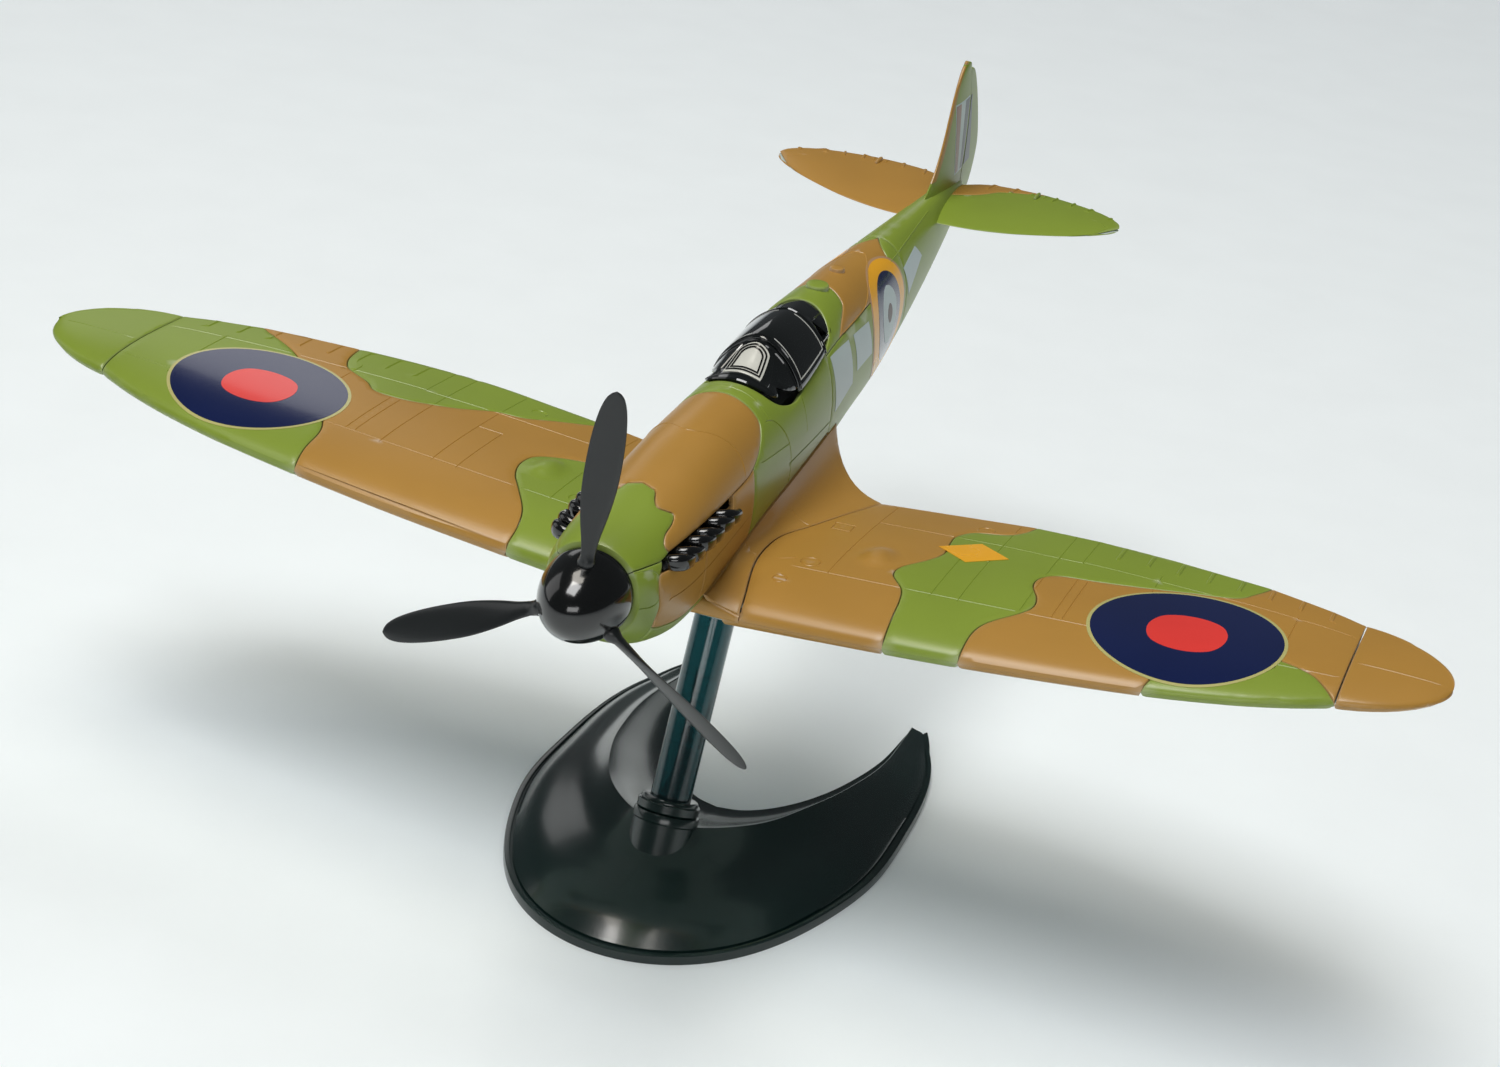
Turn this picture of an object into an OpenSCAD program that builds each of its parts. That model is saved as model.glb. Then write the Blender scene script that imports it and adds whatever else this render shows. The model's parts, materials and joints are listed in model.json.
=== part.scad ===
// Display model of a single-seat propeller plane on a crescent desk stand.
// Every airframe part is drawn in the plane's own frame: origin where the spinner meets
// the nose, -Y towards the nose, +X to port, +Z up. airframe() then sets it on the stand.

/* [Pose on the stand] */
// Nose-down angle of the plane, degrees
nose_down = 2.9; // [0:0.1:5]
// Height of the nose above the desk
nose_z = 81.1; // [78:0.1:90]
// How far the nose is ahead of the foot of the stem
nose_y = 46; // [44:0.1:48]
// Backward lean of the stem, degrees
stem_lean = 21.2; // [20.5:0.1:22]

/* [Wing] */
// Wing tip distance from the centre plane
tip_x = 131; // [128:0.5:134]
// Position of the wing tip along the fuselage
tip_y = 51; // [49:0.5:53]
// Chordwise seam between each wing and its tip
tip_seam = 114; // [112:0.5:115]
// Wall thickness of the moulded skins
wall = 1; // [0.8:0.05:1.2]
// Gap at the joints between skin panels
seam = 0.16; // [0.12:0.01:0.2]

/* [Propeller] */
// Propeller radius
prop_r = 37.4; // [34:0.1:40]
// Radius of the spinner at its base
spinner_r = 7.6; // [7.2:0.1:7.6]
// Length of the spinner
spinner_l = 11.2; // [9:0.1:13]
// Radius of the propeller shaft
shaft_r = 1.5; // [1.2:0.1:1.8]
// Angle of the first blade above the port wing, degrees
first_blade = 85; // [0:1:120]

/* [Undercarriage] */
// Distance of each leg pivot from the centre plane
pivot_x = 19; // [18.5:0.1:19.5]
// Position of the leg pivots along the fuselage
pivot_y = 46; // [45.8:0.1:46.2]
// Height of the leg pivots
pivot_z = -14.2; // [-14.3:0.05:-14.1]
// Leg length from pivot to wheel centre
leg_l = 31; // [30:0.1:31]
// Main wheel radius
wheel_r = 6.2; // [5.8:0.1:6.4]
// Main wheel thickness
wheel_t = 2.3; // [2:0.1:2.4]

/* [Stand] */
// Width of the flat back of the stem
stem_w = 7.6; // [7:0.1:8]
// Radius of the peg on top of the stem
peg_r = 3; // [2.8:0.05:3.2]
// Radius of the socket on the stand
socket_r = 6.15; // [6:0.05:6.4]
// Height of the crest of the stand
crest_h = 13.3; // [12:0.1:14]
// Wall thickness of the stand
stand_wall = 1.8; // [1.5:0.1:2.2]

/* [Hidden] */
$fn = 48;

green = [0.42, 0.50, 0.22];
brown = [0.62, 0.46, 0.26];
black = [0.05, 0.05, 0.05];
sky = [0.66, 0.70, 0.66];
stand_green = [0.06, 0.11, 0.11];
grey = [0.45, 0.46, 0.47];
steel = [0.7, 0.7, 0.72];

// ---- Curves -------------------------------------------------------------------------

// Row of the table that starts the interval holding x
function row_at(t, x, i = 0) = (i >= len(t) - 2 || x < t[i + 1][0]) ? i : row_at(t, x, i + 1);
function rise(t, a, b) = (t[b] - t[a]) / (t[b][0] - t[a][0]);
// Smooth curve through the rows of a table, whose first column is the position
function smooth(t, x0) =
  let (n = len(t), x = min(max(x0, t[0][0]), t[n - 1][0]), i = row_at(t, x),
       h = t[i + 1][0] - t[i][0], s = (x - t[i][0]) / h,
       ma = rise(t, max(i - 1, 0), i + 1), mb = rise(t, i, min(i + 2, n - 1)))
  (2 * s^3 - 3 * s^2 + 1) * t[i] + (s^3 - 2 * s^2 + s) * h * ma
  + (3 * s^2 - 2 * s^3) * t[i + 1] + (s^3 - s^2) * h * mb;
function mix(a, b, s) = a + (b - a) * s;
function unit(v) = v / norm(v);
// Smooth curve by position number through a list of points
function along(p, u) =
  let (n = len(p), i = min(floor(u), n - 2), s = u - i,
       ma = (p[i + 1] - p[max(i - 1, 0)]) / 2, mb = (p[min(i + 2, n - 1)] - p[i]) / 2)
  (2 * s^3 - 3 * s^2 + 1) * p[i] + (s^3 - 2 * s^2 + s) * ma
  + (3 * s^2 - 2 * s^3) * p[i + 1] + (s^3 - s^2) * mb;

// ---- Solids from grids of points ----------------------------------------------------

// Closed solid, turned the right way out whichever way its faces were listed
module solid(points, faces) {
  parts = [for (f = faces, k = [1:len(f) - 2]) points[f[0]] * cross(points[f[k]], points[f[k + 1]])];
  outward = parts * [for (p = parts) 1] < 0;
  polyhedron(points, outward ? faces : [for (f = faces) [for (k = [len(f) - 1:-1:0]) f[k]]]);
}
// Closed solid between two matching grids; cells that keep() refuses are left open
module shell(outer, inner, keep = function(i, j) true) {
  rows = len(outer);
  cols = len(outer[0]);
  n = rows * cols;
  has = function(i, j) i >= 0 && j >= 0 && i < rows - 1 && j < cols - 1 && keep(i, j);
  id = function(i, j) i * cols + j;
  quad = function(a, b, c, d) [[a, b, c], [a, c, d]];
  solid([each [for (r = outer) each r], each [for (r = inner) each r]], [
    for (i = [0:rows - 2], j = [0:cols - 2]) if (keep(i, j))
      each concat(
        quad(id(i, j), id(i, j + 1), id(i + 1, j + 1), id(i + 1, j)),
        quad(n + id(i + 1, j), n + id(i + 1, j + 1), n + id(i, j + 1), n + id(i, j)),
        has(i - 1, j) ? [] : quad(id(i, j + 1), id(i, j), n + id(i, j), n + id(i, j + 1)),
        has(i + 1, j) ? [] : quad(id(i + 1, j), id(i + 1, j + 1), n + id(i + 1, j + 1), n + id(i + 1, j)),
        has(i, j - 1) ? [] : quad(id(i, j), id(i + 1, j), n + id(i + 1, j), n + id(i, j)),
        has(i, j + 1) ? [] : quad(id(i + 1, j + 1), id(i, j + 1), n + id(i, j + 1), n + id(i + 1, j + 1)))
  ]);
}
// Closed solid lofted through rings of points
module loft(rings) {
  m = len(rings[0]);
  last = (len(rings) - 1) * m;
  solid([for (r = rings) each r], [
    for (i = [0:len(rings) - 2], j = [0:m - 1])
      each [[i * m + j, i * m + (j + 1) % m, (i + 1) * m + (j + 1) % m],
            [i * m + j, (i + 1) * m + (j + 1) % m, (i + 1) * m + j]],
    [for (j = [m - 1:-1:0]) j],
    [for (j = [0:m - 1]) last + j]
  ]);
}
// Panel of a surface, ruled between two edges given as [u, v] positions.
// place(u, v, inside) gives the outer or the inner point there; v_mm is the length of a
// unit of v, for the gap left along both edges.
module panel(edge_a, edge_b, place, v_mm, across, fine = 1) {
  steps = fine * (len(edge_a) - 1);
  inset = function(a, b, s)
    let (d = b - a, g = seam / 2 / max(norm([d[0], d[1] * v_mm]), 0.5)) mix(a, b, g + (1 - 2 * g) * s);
  grid = function(inside) [
    for (i = [0:steps]) let (u = i / fine, a = along(edge_a, u), b = along(edge_b, u))
      [for (j = [0:across]) let (q = inset(a, b, j / across)) place(q[0], q[1], inside)]
  ];
  shell(grid(false), grid(true));
}

module airframe() {
  translate([0, -nose_y, nose_z]) rotate([nose_down, 0, 0]) children();
}
// Mirrors a port part to starboard
module starboard() {
  mirror([1, 0, 0]) children();
}
// Places a part drawn along Z on the axis of the stem, which meets the desk at the origin
module stem_axis(s = 0) {
  rotate([-stem_lean, 0, 0]) translate([0, 0, s]) children();
}
// Places a part drawn along Z on the thrust line, pointing aft from position y
module thrust_axis(y = 0) {
  airframe() translate([0, y, 0]) rotate([-90, 0, 0]) children();
}

// ---- Fuselage surface ---------------------------------------------------------------

// y, half width, top, bottom, height of the widest line, squareness of the lower half
sections = [
  [0, 7.7, 7.7, -7.7, 0, 0.95],
  [4, 9.2, 8.7, -11, -0.5, 0.9],
  [10, 10.1, 9.6, -13.8, -1, 0.75],
  [20, 10.7, 10.9, -15.8, -1.4, 0.64],
  [38, 10.9, 12.9, -15.6, -1.8, 0.7],
  [55, 11, 13, -15.3, -2, 0.9],
  [72, 10.8, 13, -15.8, -1.5, 0.95],
  [90, 10.2, 16.6, -15.6, -1, 0.95],
  [105, 9.4, 16.2, -14.2, -0.4, 0.95],
  [120, 8.6, 15.4, -13.2, 0.2, 0.95],
  [140, 7, 14, -10.2, 1.4, 0.95],
  [160, 5.1, 12.8, -6.2, 3, 0.95],
  [178, 3.2, 11.8, -1.8, 5, 0.95],
  [192, 1.6, 10.4, 3, 6.6, 0.95]
];
upper_square = 0.95;
function signed_pow(v, e) = sign(v) * abs(v)^e;
// Point of the fuselage skin at y and at an angle from the top, port positive
function skin_at(y, angle, inside, t = wall) =
  let (s = smooth(sections, y), k = inside ? t : 0, up = cos(angle) > 0,
       h = (up ? s[2] - s[4] : s[4] - s[3]) - k, e = up ? upper_square : s[5])
  [(s[1] - k) * signed_pow(sin(angle), e), y, s[4] + h * signed_pow(cos(angle), e)];
fuselage = function(y, angle, inside) skin_at(y, angle, inside);
// Length of a degree round the fuselage
degree = 0.18;

// ---- Wing surface -------------------------------------------------------------------

front_edge = [[10, 27.3], [30, 27.3], [55, 27.9], [84, 30.5], [98, 33.2], [107, 36], [114, 39]];
rear_edge = [[10, 85.8], [27, 85.9], [44, 85.6], [56, 85.2], [69, 83.2], [82, 80], [95, 76.4],
             [108, 71], [114, 67.5]];
lead_rise = 4.49;
trail_rise = 6.33;
edge_half = 0.35;
function tip_part(x) = min(max((x - tip_seam) / (tip_x - tip_seam), 0), 1);
function edge_at(t, x, creep) =
  let (s = tip_part(x), e = smooth(t, x)[1] + creep * max(x - tip_seam, 0))
  s > 0 ? tip_y + (e - tip_y) * sqrt(1 - s^2) : e;
function lead(x) = edge_at(front_edge, x, 0.1);
function trail(x) = edge_at(rear_edge, x, -0.2);
function lead_z(x) = -15.3 + x * tan(lead_rise);
function trail_z(x) = -18.6 + x * tan(trail_rise);
// Half height of the wing over its chord line, before the tip rounds off
function wing_half(x) = (4.65 - 0.026 * x) * sqrt(1 - tip_part(x)^2);
// Share of the half height at a share of the chord, 1 at the thickest place
function aerofoil(t0) =
  let (t = min(max(t0, 0), 1))
  10 * (0.2969 * sqrt(t) - 0.126 * t - 0.3516 * t^2 + 0.2843 * t^3 - 0.1036 * t^4);
function wing_mid(x, t) = mix(lead_z(x), trail_z(x), t);
function blunt_edge(x) = edge_half * sqrt(1 - tip_part(x)^2);
function wing_top(x, t) = wing_mid(x, t) + wing_half(x) * aerofoil(t) + blunt_edge(x);
function wing_bottom(x, t) = wing_mid(x, t) - 0.8 * wing_half(x) * aerofoil(t) - blunt_edge(x);
// Length of the wing's chord, for gaps
chord = 55;
// Half of the gap between the upper and the lower skins
skin_gap = 0.06;
upper_wing = function(x, t, inside)
  let (top = wing_top(x, t))
  [x, mix(lead(x), trail(x), t), inside ? max(top - wall, wing_mid(x, t) + skin_gap) : top];
lower_wing = function(x, t, inside)
  let (bottom = wing_bottom(x, t))
  [x, mix(lead(x), trail(x), t), inside ? bottom : min(bottom + wall, wing_mid(x, t) - skin_gap)];

// ---- Stand --------------------------------------------------------------------------

// Outline of the stand about stand_mid, by the angle round from its front
stand_mid = 29;
horn_a = 154;
function rim_r(a) =
  47.05 - 6.97 * cos(a) + 12.67 * cos(2 * a) - 1.74 * cos(3 * a) + 1.97 * cos(4 * a)
  + max(0, abs(a) - 148) / 4;
function rim(a, inset = 0) = [(rim_r(a) - inset) * sin(a), stand_mid - (rim_r(a) - inset) * cos(a)];
// Angle, x, y, share of the crest height, along the crest
crest_line = [[0, 0, 3.4, 1], [30, 7.5, 6.3, 0.96], [60, 15.6, 16, 0.87], [90, 20.8, 28.8, 0.79],
              [120, 24, 44, 0.62], [140, 25.5, 61, 0.42], [154, 25.3, 84, 0.22]];
// Angle, x, y of the inner foot
foot_line = [[0, 0, 35], [30, 5, 36.6], [60, 10.2, 41.1], [90, 15.2, 48.5], [120, 19.4, 58.6],
             [140, 22.4, 71], [154, 23.3, 85.6]];
// Share of the way in from the rim, share of the height there
front_slope = [[0, 0], [0.2, 0.22], [0.4, 0.38], [0.6, 0.5], [0.8, 0.68], [1, 1]];
function side(a, q) = [sign(a) * q[1], q[2]];
rim_h = 1.8;
rim_lip = 1.7;
inner_sag = 2.4;
outer_steps = 5;
inner_steps = 5;
// One section of the stand, from its rim over the crest to the inner foot
function stand_section(a, inside) =
  let (w = abs(a), k = inside ? stand_wall : 0, c = smooth(crest_line, w), f = side(a, smooth(foot_line, w)),
       cx = side(a, c), ch = c[3] * crest_h, lip = rim(a, rim_lip + k), away = unit(cx - f) * k,
       low = rim_h + 0.2, fade = min(1, ch / 10))
  concat(
    [[each rim(a, k), 0], [each rim(a, k), rim_h - k / 2]],
    [for (i = [0:outer_steps]) let (s = i / outer_steps)
      [each mix(lip, cx, s), mix(low, ch, smooth(front_slope, s)[1]) - k]],
    [for (i = [1:inner_steps - 1]) let (s = i / inner_steps)
      [each mix(cx, f + away, s),
       max(ch * (1 - s) - inner_sag * fade * sin(180 * s) * s - k * (1 - s^2), inside ? 0.1 : 0.3)]],
    [[each (f + away), inside ? 0 : 0.4], [each (f + away), 0]]);

socket_top = 15.4;
module stand_base() {
  angles = [for (i = [-14:14]) i * horn_a / 14];
  color(stand_green) difference() {
    union() {
      shell([for (a = angles) stand_section(a, false)], [for (a = angles) stand_section(a, true)]);
      intersection() {
        stem_axis(-5) cylinder(r = socket_r, h = socket_top + 5);
        translate([-15, -15, 0]) cube([30, 30, 30]);
      }
    }
    stem_axis(5) cylinder(r = 4.6, h = 30);
  }
}

module stem_collar() {
  color(stand_green) stem_axis(socket_top + 0.1) difference() {
    union() {
      cylinder(r = 5.7, h = 1.9);
      cylinder(r = 5.3, h = 2.6);
    }
    translate([0, 0, -1]) linear_extrude(8) stem_outline(0.08);
  }
}

// D-shaped outline of the stem, rounded to the front
module stem_outline(grow = 0) {
  r = stem_w / 2 + grow;
  intersection() {
    circle(r = r);
    translate([-r, -r]) square([2 * r, 2 * r - 1]);
  }
}

// Along the stem: where its peg starts, under the belly of the plane, and where it ends
peg_s = 67;
peg_l = 15;
module stem() {
  color([0.1, 0.2, 0.22]) difference() {
    union() {
      stem_axis(5.1) cylinder(r = 4.5, h = socket_top - 5.2);
      stem_axis(socket_top - 1) linear_extrude(peg_s - socket_top + 1) stem_outline();
      stem_axis(peg_s - 1) cylinder(r = peg_r, h = peg_l + 1);
    }
    for (s = [28, 41, 54]) stem_axis(s) translate([-2.1, 0, 0]) cube([4.2, 6, 9]);
  }
}

// ---- Inner structure ----------------------------------------------------------------

core_front = 4.5;
bush_r = 3;
module airframe_core() {
  color(grey) difference() {
    airframe() {
      translate([-5.5, core_front, -6]) cube([11, 90 - core_front, 12]);
      translate([-3, 89, -3.5]) cube([6, 56, 11]);
      translate([-8.5, 38, -16.4]) cube([17, 43, 11]);
    }
    stem_axis(peg_s - 8) cylinder(r = peg_r + 0.06, h = peg_l + 9);
    thrust_axis(core_front - 1) cylinder(r = bush_r + 0.05, h = 12.4);
    airframe() translate([-3.6, 15.5, -3.6]) cube([7.2, 7, 7.2]);
    airframe() translate([-9, 57.9, -16.2]) cube([18, 5.2, 3]);
  }
}

module nose_bush() {
  color(steel) difference() {
    thrust_axis(core_front - 1.5) cylinder(r = bush_r, h = 12.3);
    thrust_axis(0) cylinder(r = shaft_r + 0.06, h = 30);
  }
}

// Half of the spar with the ears that hold a leg pivot
spar_dihedral = 3.7;
module half_spar() {
  translate([8.5, 58.1, -16]) rotate([0, -spar_dihedral, 0]) cube([46, 4.8, 1.8]);
  translate([14.4, 42.6, -15.7]) cube([2.4, 16.1, 2.4]);
  for (y = [42.3, 48.2]) translate([14.2, y, -15.9]) cube([6.4, 1.5, 3.4]);
}
module pivot_bore(r) {
  translate([pivot_x, 40, pivot_z]) rotate([-90, 0, 0]) cylinder(r = r, h = 12);
}
pin_r = 0.8;
module wing_spar() {
  color(grey) airframe() difference() {
    union() {
      half_spar();
      starboard() half_spar();
      translate([-8.8, 58, -16.1]) cube([17.6, 5, 2.6]);
    }
    pivot_bore(pin_r + 0.02);
    starboard() pivot_bore(pin_r + 0.02);
  }
}

// ---- Fuselage panels ----------------------------------------------------------------

// Half of the edge between nose cowl and upper cowl, from the top centre round to port
wavy_half = [[19, 0], [18.6, 12], [16, 20], [15.6, 27], [16.6, 35], [14.6, 43], [11.2, 48], [10.6, 55],
             [11.2, 60]];
function mirrored(e) = concat([for (i = [len(e) - 1:-1:1]) [e[i][0], -e[i][1]]], e);
nose_front = [for (q = wavy_half) [1, q[1] * 54 / 60]];
module nose_cowl() {
  color(green) airframe() panel(mirrored(nose_front), mirrored(wavy_half), fuselage, degree, 4);
}

chin_front = [for (i = [0:12]) [1, 55.5 + i * (360 - 111) / 12]];
chin_rear = [for (i = [0:12]) let (a = 59.8 + i * (360 - 119.6) / 12) [7 + 3 * abs(cos(a)), a]];
module chin_cowl() {
  color(green) airframe() panel(chin_front, chin_rear, fuselage, degree, 2);
}
// Underside of the cowl, from the chin back to the wing
module lower_cowl() {
  front = [for (i = [0:10]) let (a = 123 + i * 11.4) [7 + 3 * abs(cos(a)), a]];
  rear = [for (i = [0:10]) [27.1, 120.6 + i * 11.88]];
  color(green) airframe() panel(front, rear, fuselage, degree, 3);
}

cowl_rear_half = [[55.1, 0], [55, 8], [54.8, 20], [54.5, 32], [54, 42], [51.8, 52], [49, 59], [45, 65],
                  [36, 65.5]];
upper_front_half = [each [for (i = [0:7]) wavy_half[i]], [11.6, 59.5]];
module upper_cowl() {
  color(brown) airframe() panel(mirrored(upper_front_half), mirrored(cowl_rear_half), fuselage, degree, 7);
}

// Lower edge of the fuselage sides, where the wing root fillet starts
root_top = [[7, 122], [20, 121], [30, 118], [45, 110], [62, 106], [78, 104], [88, 104]];
function root_angle(y) = smooth(root_top, y)[1];
// The top edge of the cowl sides drops along the exhausts
module cowl_side() {
  ys = [9, 14, 19, 24, 29, 34.5, 36.5, 40, 45];
  low = [for (y = ys) [y, root_angle(y)]];
  top = [for (y = ys) [y, y < 36 ? 78 : 67.6]];
  color(brown) airframe() panel(top, low, fuselage, degree, 4);
}
module port_cowl_side() { cowl_side(); }
module starboard_cowl_side() { starboard() cowl_side(); }

// Front edge and rear edge of the cockpit surround, from the top centre round to port
surround_front = [[55.2, 0], [55.1, 8], [54.9, 20], [54.6, 32], [54.2, 42], [52.1, 52.4], [49.5, 59.8],
                  [45.8, 68], [45.2, 80], [45.2, 94], [45.2, 109.4]];
surround_rear = [[60.4, 0], [60.5, 8], [60.7, 20], [62, 34], [66, 45], [71, 50.5], [79, 50.5],
                 [86, 50], [86, 66], [86, 85], [86, 103.4]];
module cockpit_surround() {
  color(green) airframe() panel(mirrored(surround_front), mirrored(surround_rear), fuselage, degree, 4);
}

collar_rear_half = [[103.6, 0], [103.4, 12], [102.6, 24], [101.5, 34], [97, 42], [94, 49]];
module rear_collar() {
  front = [[96.4, 0], [96.4, 12], [95.8, 24], [94.5, 34], [92.4, 42], [91, 49]];
  color(green) airframe() {
    panel(mirrored(front), mirrored(collar_rear_half), fuselage, degree, 2);
    skin_stud(101.2, 2);
  }
}
// Small round stud on the spine
module skin_stud(y, r) {
  translate([0, y, smooth(sections, y)[2] - 0.5]) cylinder(r = r, h = 1);
}
spine_rear_half = [[137.4, 0], [137, 12], [134, 20], [127, 26], [124, 36], [123, 49]];
module spine_cover() {
  color(brown) airframe() {
    panel(mirrored(collar_rear_half), mirrored(spine_rear_half), fuselage, degree, 4);
    skin_stud(112, 1.4);
  }
}
side_rear_y = 137;
module rear_side() {
  top = [[86.2, 50.5], [95, 50.5], [105, 50.5], [115, 50.5], [123.5, 50], [125, 38], [128, 27],
         [134.4, 21], [138, 13]];
  low = [[86.2, 104], [95, 125], [103, 153], [109, 173], for (y = [114, 120, 127, 133, 138]) [y, 179.5]];
  color(green) airframe() panel(top, low, fuselage, degree, 7);
}
module port_rear_side() { rear_side(); }
module starboard_rear_side() { starboard() rear_side(); }
module tail_cone() {
  color(green) airframe() ring_shell([for (y = [138.2:8:186.3]) y]);
}
// Closed tube of fuselage skin through the given stations
module ring_shell(ys) {
  turns = 24;
  grid = function(k) [for (y = ys) [for (i = [0:turns - 1]) skin_at(y, i * 360 / turns, k)]];
  difference() {
    loft(grid(false));
    loft([for (i = [0:len(ys) - 1]) let (y = ys[i] + (i == 0 ? -0.5 : i == len(ys) - 1 ? 0.5 : 0))
      [for (j = [0:turns - 1]) let (p = skin_at(ys[i], j * 360 / turns, true)) [p[0], y, p[2]]]]);
  }
}

// Under surface between the wings
belly_x = 12.8;
function belly_point(x, t, inside) =
  [x, mix(lead(13), trail(13), t) + (t == 0 ? 0.2 : 0), wing_bottom(13, t) + (inside ? 0 : wall)];
module belly_pan() {
  us = [for (i = [0:12]) -belly_x + i * 2 * belly_x / 12];
  vs = [for (i = [0:14]) i / 14];
  color(sky) airframe() shell(
    [for (x = us) [for (t = vs) belly_point(x, t, false)]],
    [for (x = us) [for (t = vs) belly_point(x, t, true)]],
    function(i, j) !(abs(i - 5.5) < 3 && j >= 9 && j <= 12));
}
// Fairing from the belly up to the rear fuselage
module belly_fairing() {
  ys = [86, 91, 97, 103, 107.5];
  drop = [[86, -17.9], [97, -16.4], [108, -14.2]];
  half = [[86, 104], [95, 126], [103, 154.5], [108, 171]];
  n = 10;
  point = function(y, s, k)
    let (a = smooth(half, y)[1], p = skin_at(y, mix(a + 1.5, 358.5 - a, s), k), b = sin(180 * s))
    [p[0], y + 0.2, mix(p[2], min(p[2], smooth(drop, y)[1] + (k ? wall : 0)), b)];
  color(sky) airframe() shell(
    [for (y = ys) [for (j = [0:n]) point(y, j / n, false)]],
    [for (y = ys) [for (j = [0:n]) point(y, j / n, true)]]);
}

// Fillet from the fuselage side down to the wing seam
root_seam = [[27.3, 16.4], [31, 15.8], [40.8, 13.6], [47.8, 12.9], [55.6, 13.3], [63.2, 15.9],
             [71.8, 18.4], [80, 20.8], [85.9, 22.4]];
function seam_x(y) = smooth(root_seam, y)[1];
function bezier(a, b, c, s) = (1 - s)^2 * a + 2 * s * (1 - s) * b + s^2 * c;
module wing_root() {
  ys = [27.6, 31, 36, 42, 48, 55, 62, 69, 75, 80, 85.7];
  n = 6;
  point = function(y, s, k)
    let (t = (y - lead(15)) / (trail(15) - lead(15)), x = seam_x(y) - seam,
         a = skin_at(y, root_angle(y) + 1.5, k), c = upper_wing(x, t, k),
         b = [mix(a[0], c[0], 0.25), y, c[2] + (k ? 0.1 : 0.2)])
    bezier(a, b, c, s);
  color(brown) airframe() shell(
    [for (y = ys) [for (j = [0:n]) point(y, j / n, false)]],
    [for (y = ys) [for (j = [0:n]) point(y, j / n, true)]]);
}
module port_wing_root() { wing_root(); }
module starboard_wing_root() { starboard() wing_root(); }

// ---- Canopy, exhausts ---------------------------------------------------------------

// y of the sill, y of the top, height of the top, angle of the sill on the fuselage
hoops = [[62.9, 60.8, 13.2, 35], [65.4, 64.3, 14, 42.5], [69, 68.2, 15.7, 47.6], [72, 71.8, 17.2, 49.6],
         [76, 76, 17.6, 50], [83, 83, 17.5, 50], [87, 88, 17.3, 49.7], [90.6, 95.6, 16.9, 48.5]];
// Point of the canopy on the hoop at position u, at a share s of the way over it
function canopy_point(u, s, inset, lift = 0) =
  let (h = along(hoops, u), sill = skin_at(h[0], h[3], false), low = sill[2] + 0.25, a = 180 * s)
  [(sill[0] - inset) * signed_pow(cos(a), 1.2), mix(h[0], h[1], sin(a)),
   low + (h[2] - inset - low) * sin(a)^1.4 + lift];
module canopy() {
  rows = [for (i = [0:14]) i / 2];
  color(black) airframe() shell(
    [for (u = rows) [for (j = [0:12]) canopy_point(u, j / 12, 0)]],
    [for (u = rows) [for (j = [0:12]) canopy_point(u, j / 12, wall)]]);
}
// Flat front glass, a thin plate on the front of the canopy
module windscreen_pane() {
  half = [0.17, 0.16, 0.145, 0.12, 0.075];
  grid = function(lift) [
    for (i = [0:4]) [for (j = [-3:3]) canopy_point(0.9 + i * 0.45, 0.5 + half[i] * j / 3, 0, lift)]
  ];
  color([0.85, 0.87, 0.88]) airframe() shell(grid(0.2), grid(0.04));
}
stub_pitch = 3.9;
module exhausts() {
  color(black) airframe() {
    translate([8.2, 9.4, 2]) cube([1.8, 24.6, 1.5]);
    for (i = [0:5]) translate([9.9, 10.4 + i * stub_pitch + (i % 2) * -0.5, 2.75]) {
      rotate([0, 90, 0]) cylinder(r = 0.8, h = 1.6);
      translate([1.5, 0, 0]) sphere(r = 0.95);
      translate([1.5, 0, 0]) rotate([-78, 0, -14]) cylinder(r = 0.95, h = 3);
    }
  }
}
module port_exhausts() { exhausts(); }
module starboard_exhausts() { starboard() exhausts(); }

// ---- Tail ---------------------------------------------------------------------------

// Ring of a thin lens section between two points, along direction d, thickness along n
function lens(front, rear, n, thick, m = 8) =
  let (shape = function(s) sin(180 * s)^0.7 * (1.15 - 0.5 * s))
  concat([for (i = [0:m]) let (s = i / m) mix(front, rear, s) + n * (thick / 2 * shape(s) + 0.15)],
         [for (i = [m:-1:0]) let (s = i / m) mix(front, rear, s) - n * (thick / 2 * shape(s) + 0.15)]);
// Height, front, rear of the fin and of the rudder
fin_rows = [[12.8, 168.8, 189.5], [15, 171.5, 190.2], [18, 174.4, 190.6], [22, 176.8, 190.7],
            [27, 178.8, 190.4], [32, 181, 189.6], [35, 183.2, 188.6], [36.4, 185.4, 187.6]];
rudder_rows = [[4.6, 190.4, 198], [7, 190.2, 201.4], [11, 190.4, 203.2], [15, 190.9, 203.6],
               [20, 191.3, 201.8], [26, 191, 198.8], [31, 190.3, 195.6], [34.4, 189.4, 192.4]];
// Upright blade through rows of height, front and rear, thinner towards its top
module upright(rows, base, top, m) {
  span = rows[len(rows) - 1][0] - rows[0][0];
  airframe() loft([
    for (r = rows) let (thick = mix(base, top, (r[0] - rows[0][0]) / span))
      lens([0, r[1], r[0]], [0, r[2], r[0]], [1, 0, 0], thick, m)
  ]);
}
module fin() {
  color(green) upright(fin_rows, 2.2, 1, 8);
}
module rudder() {
  color(green) upright(rudder_rows, 1.8, 0.8, 6);
}
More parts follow.
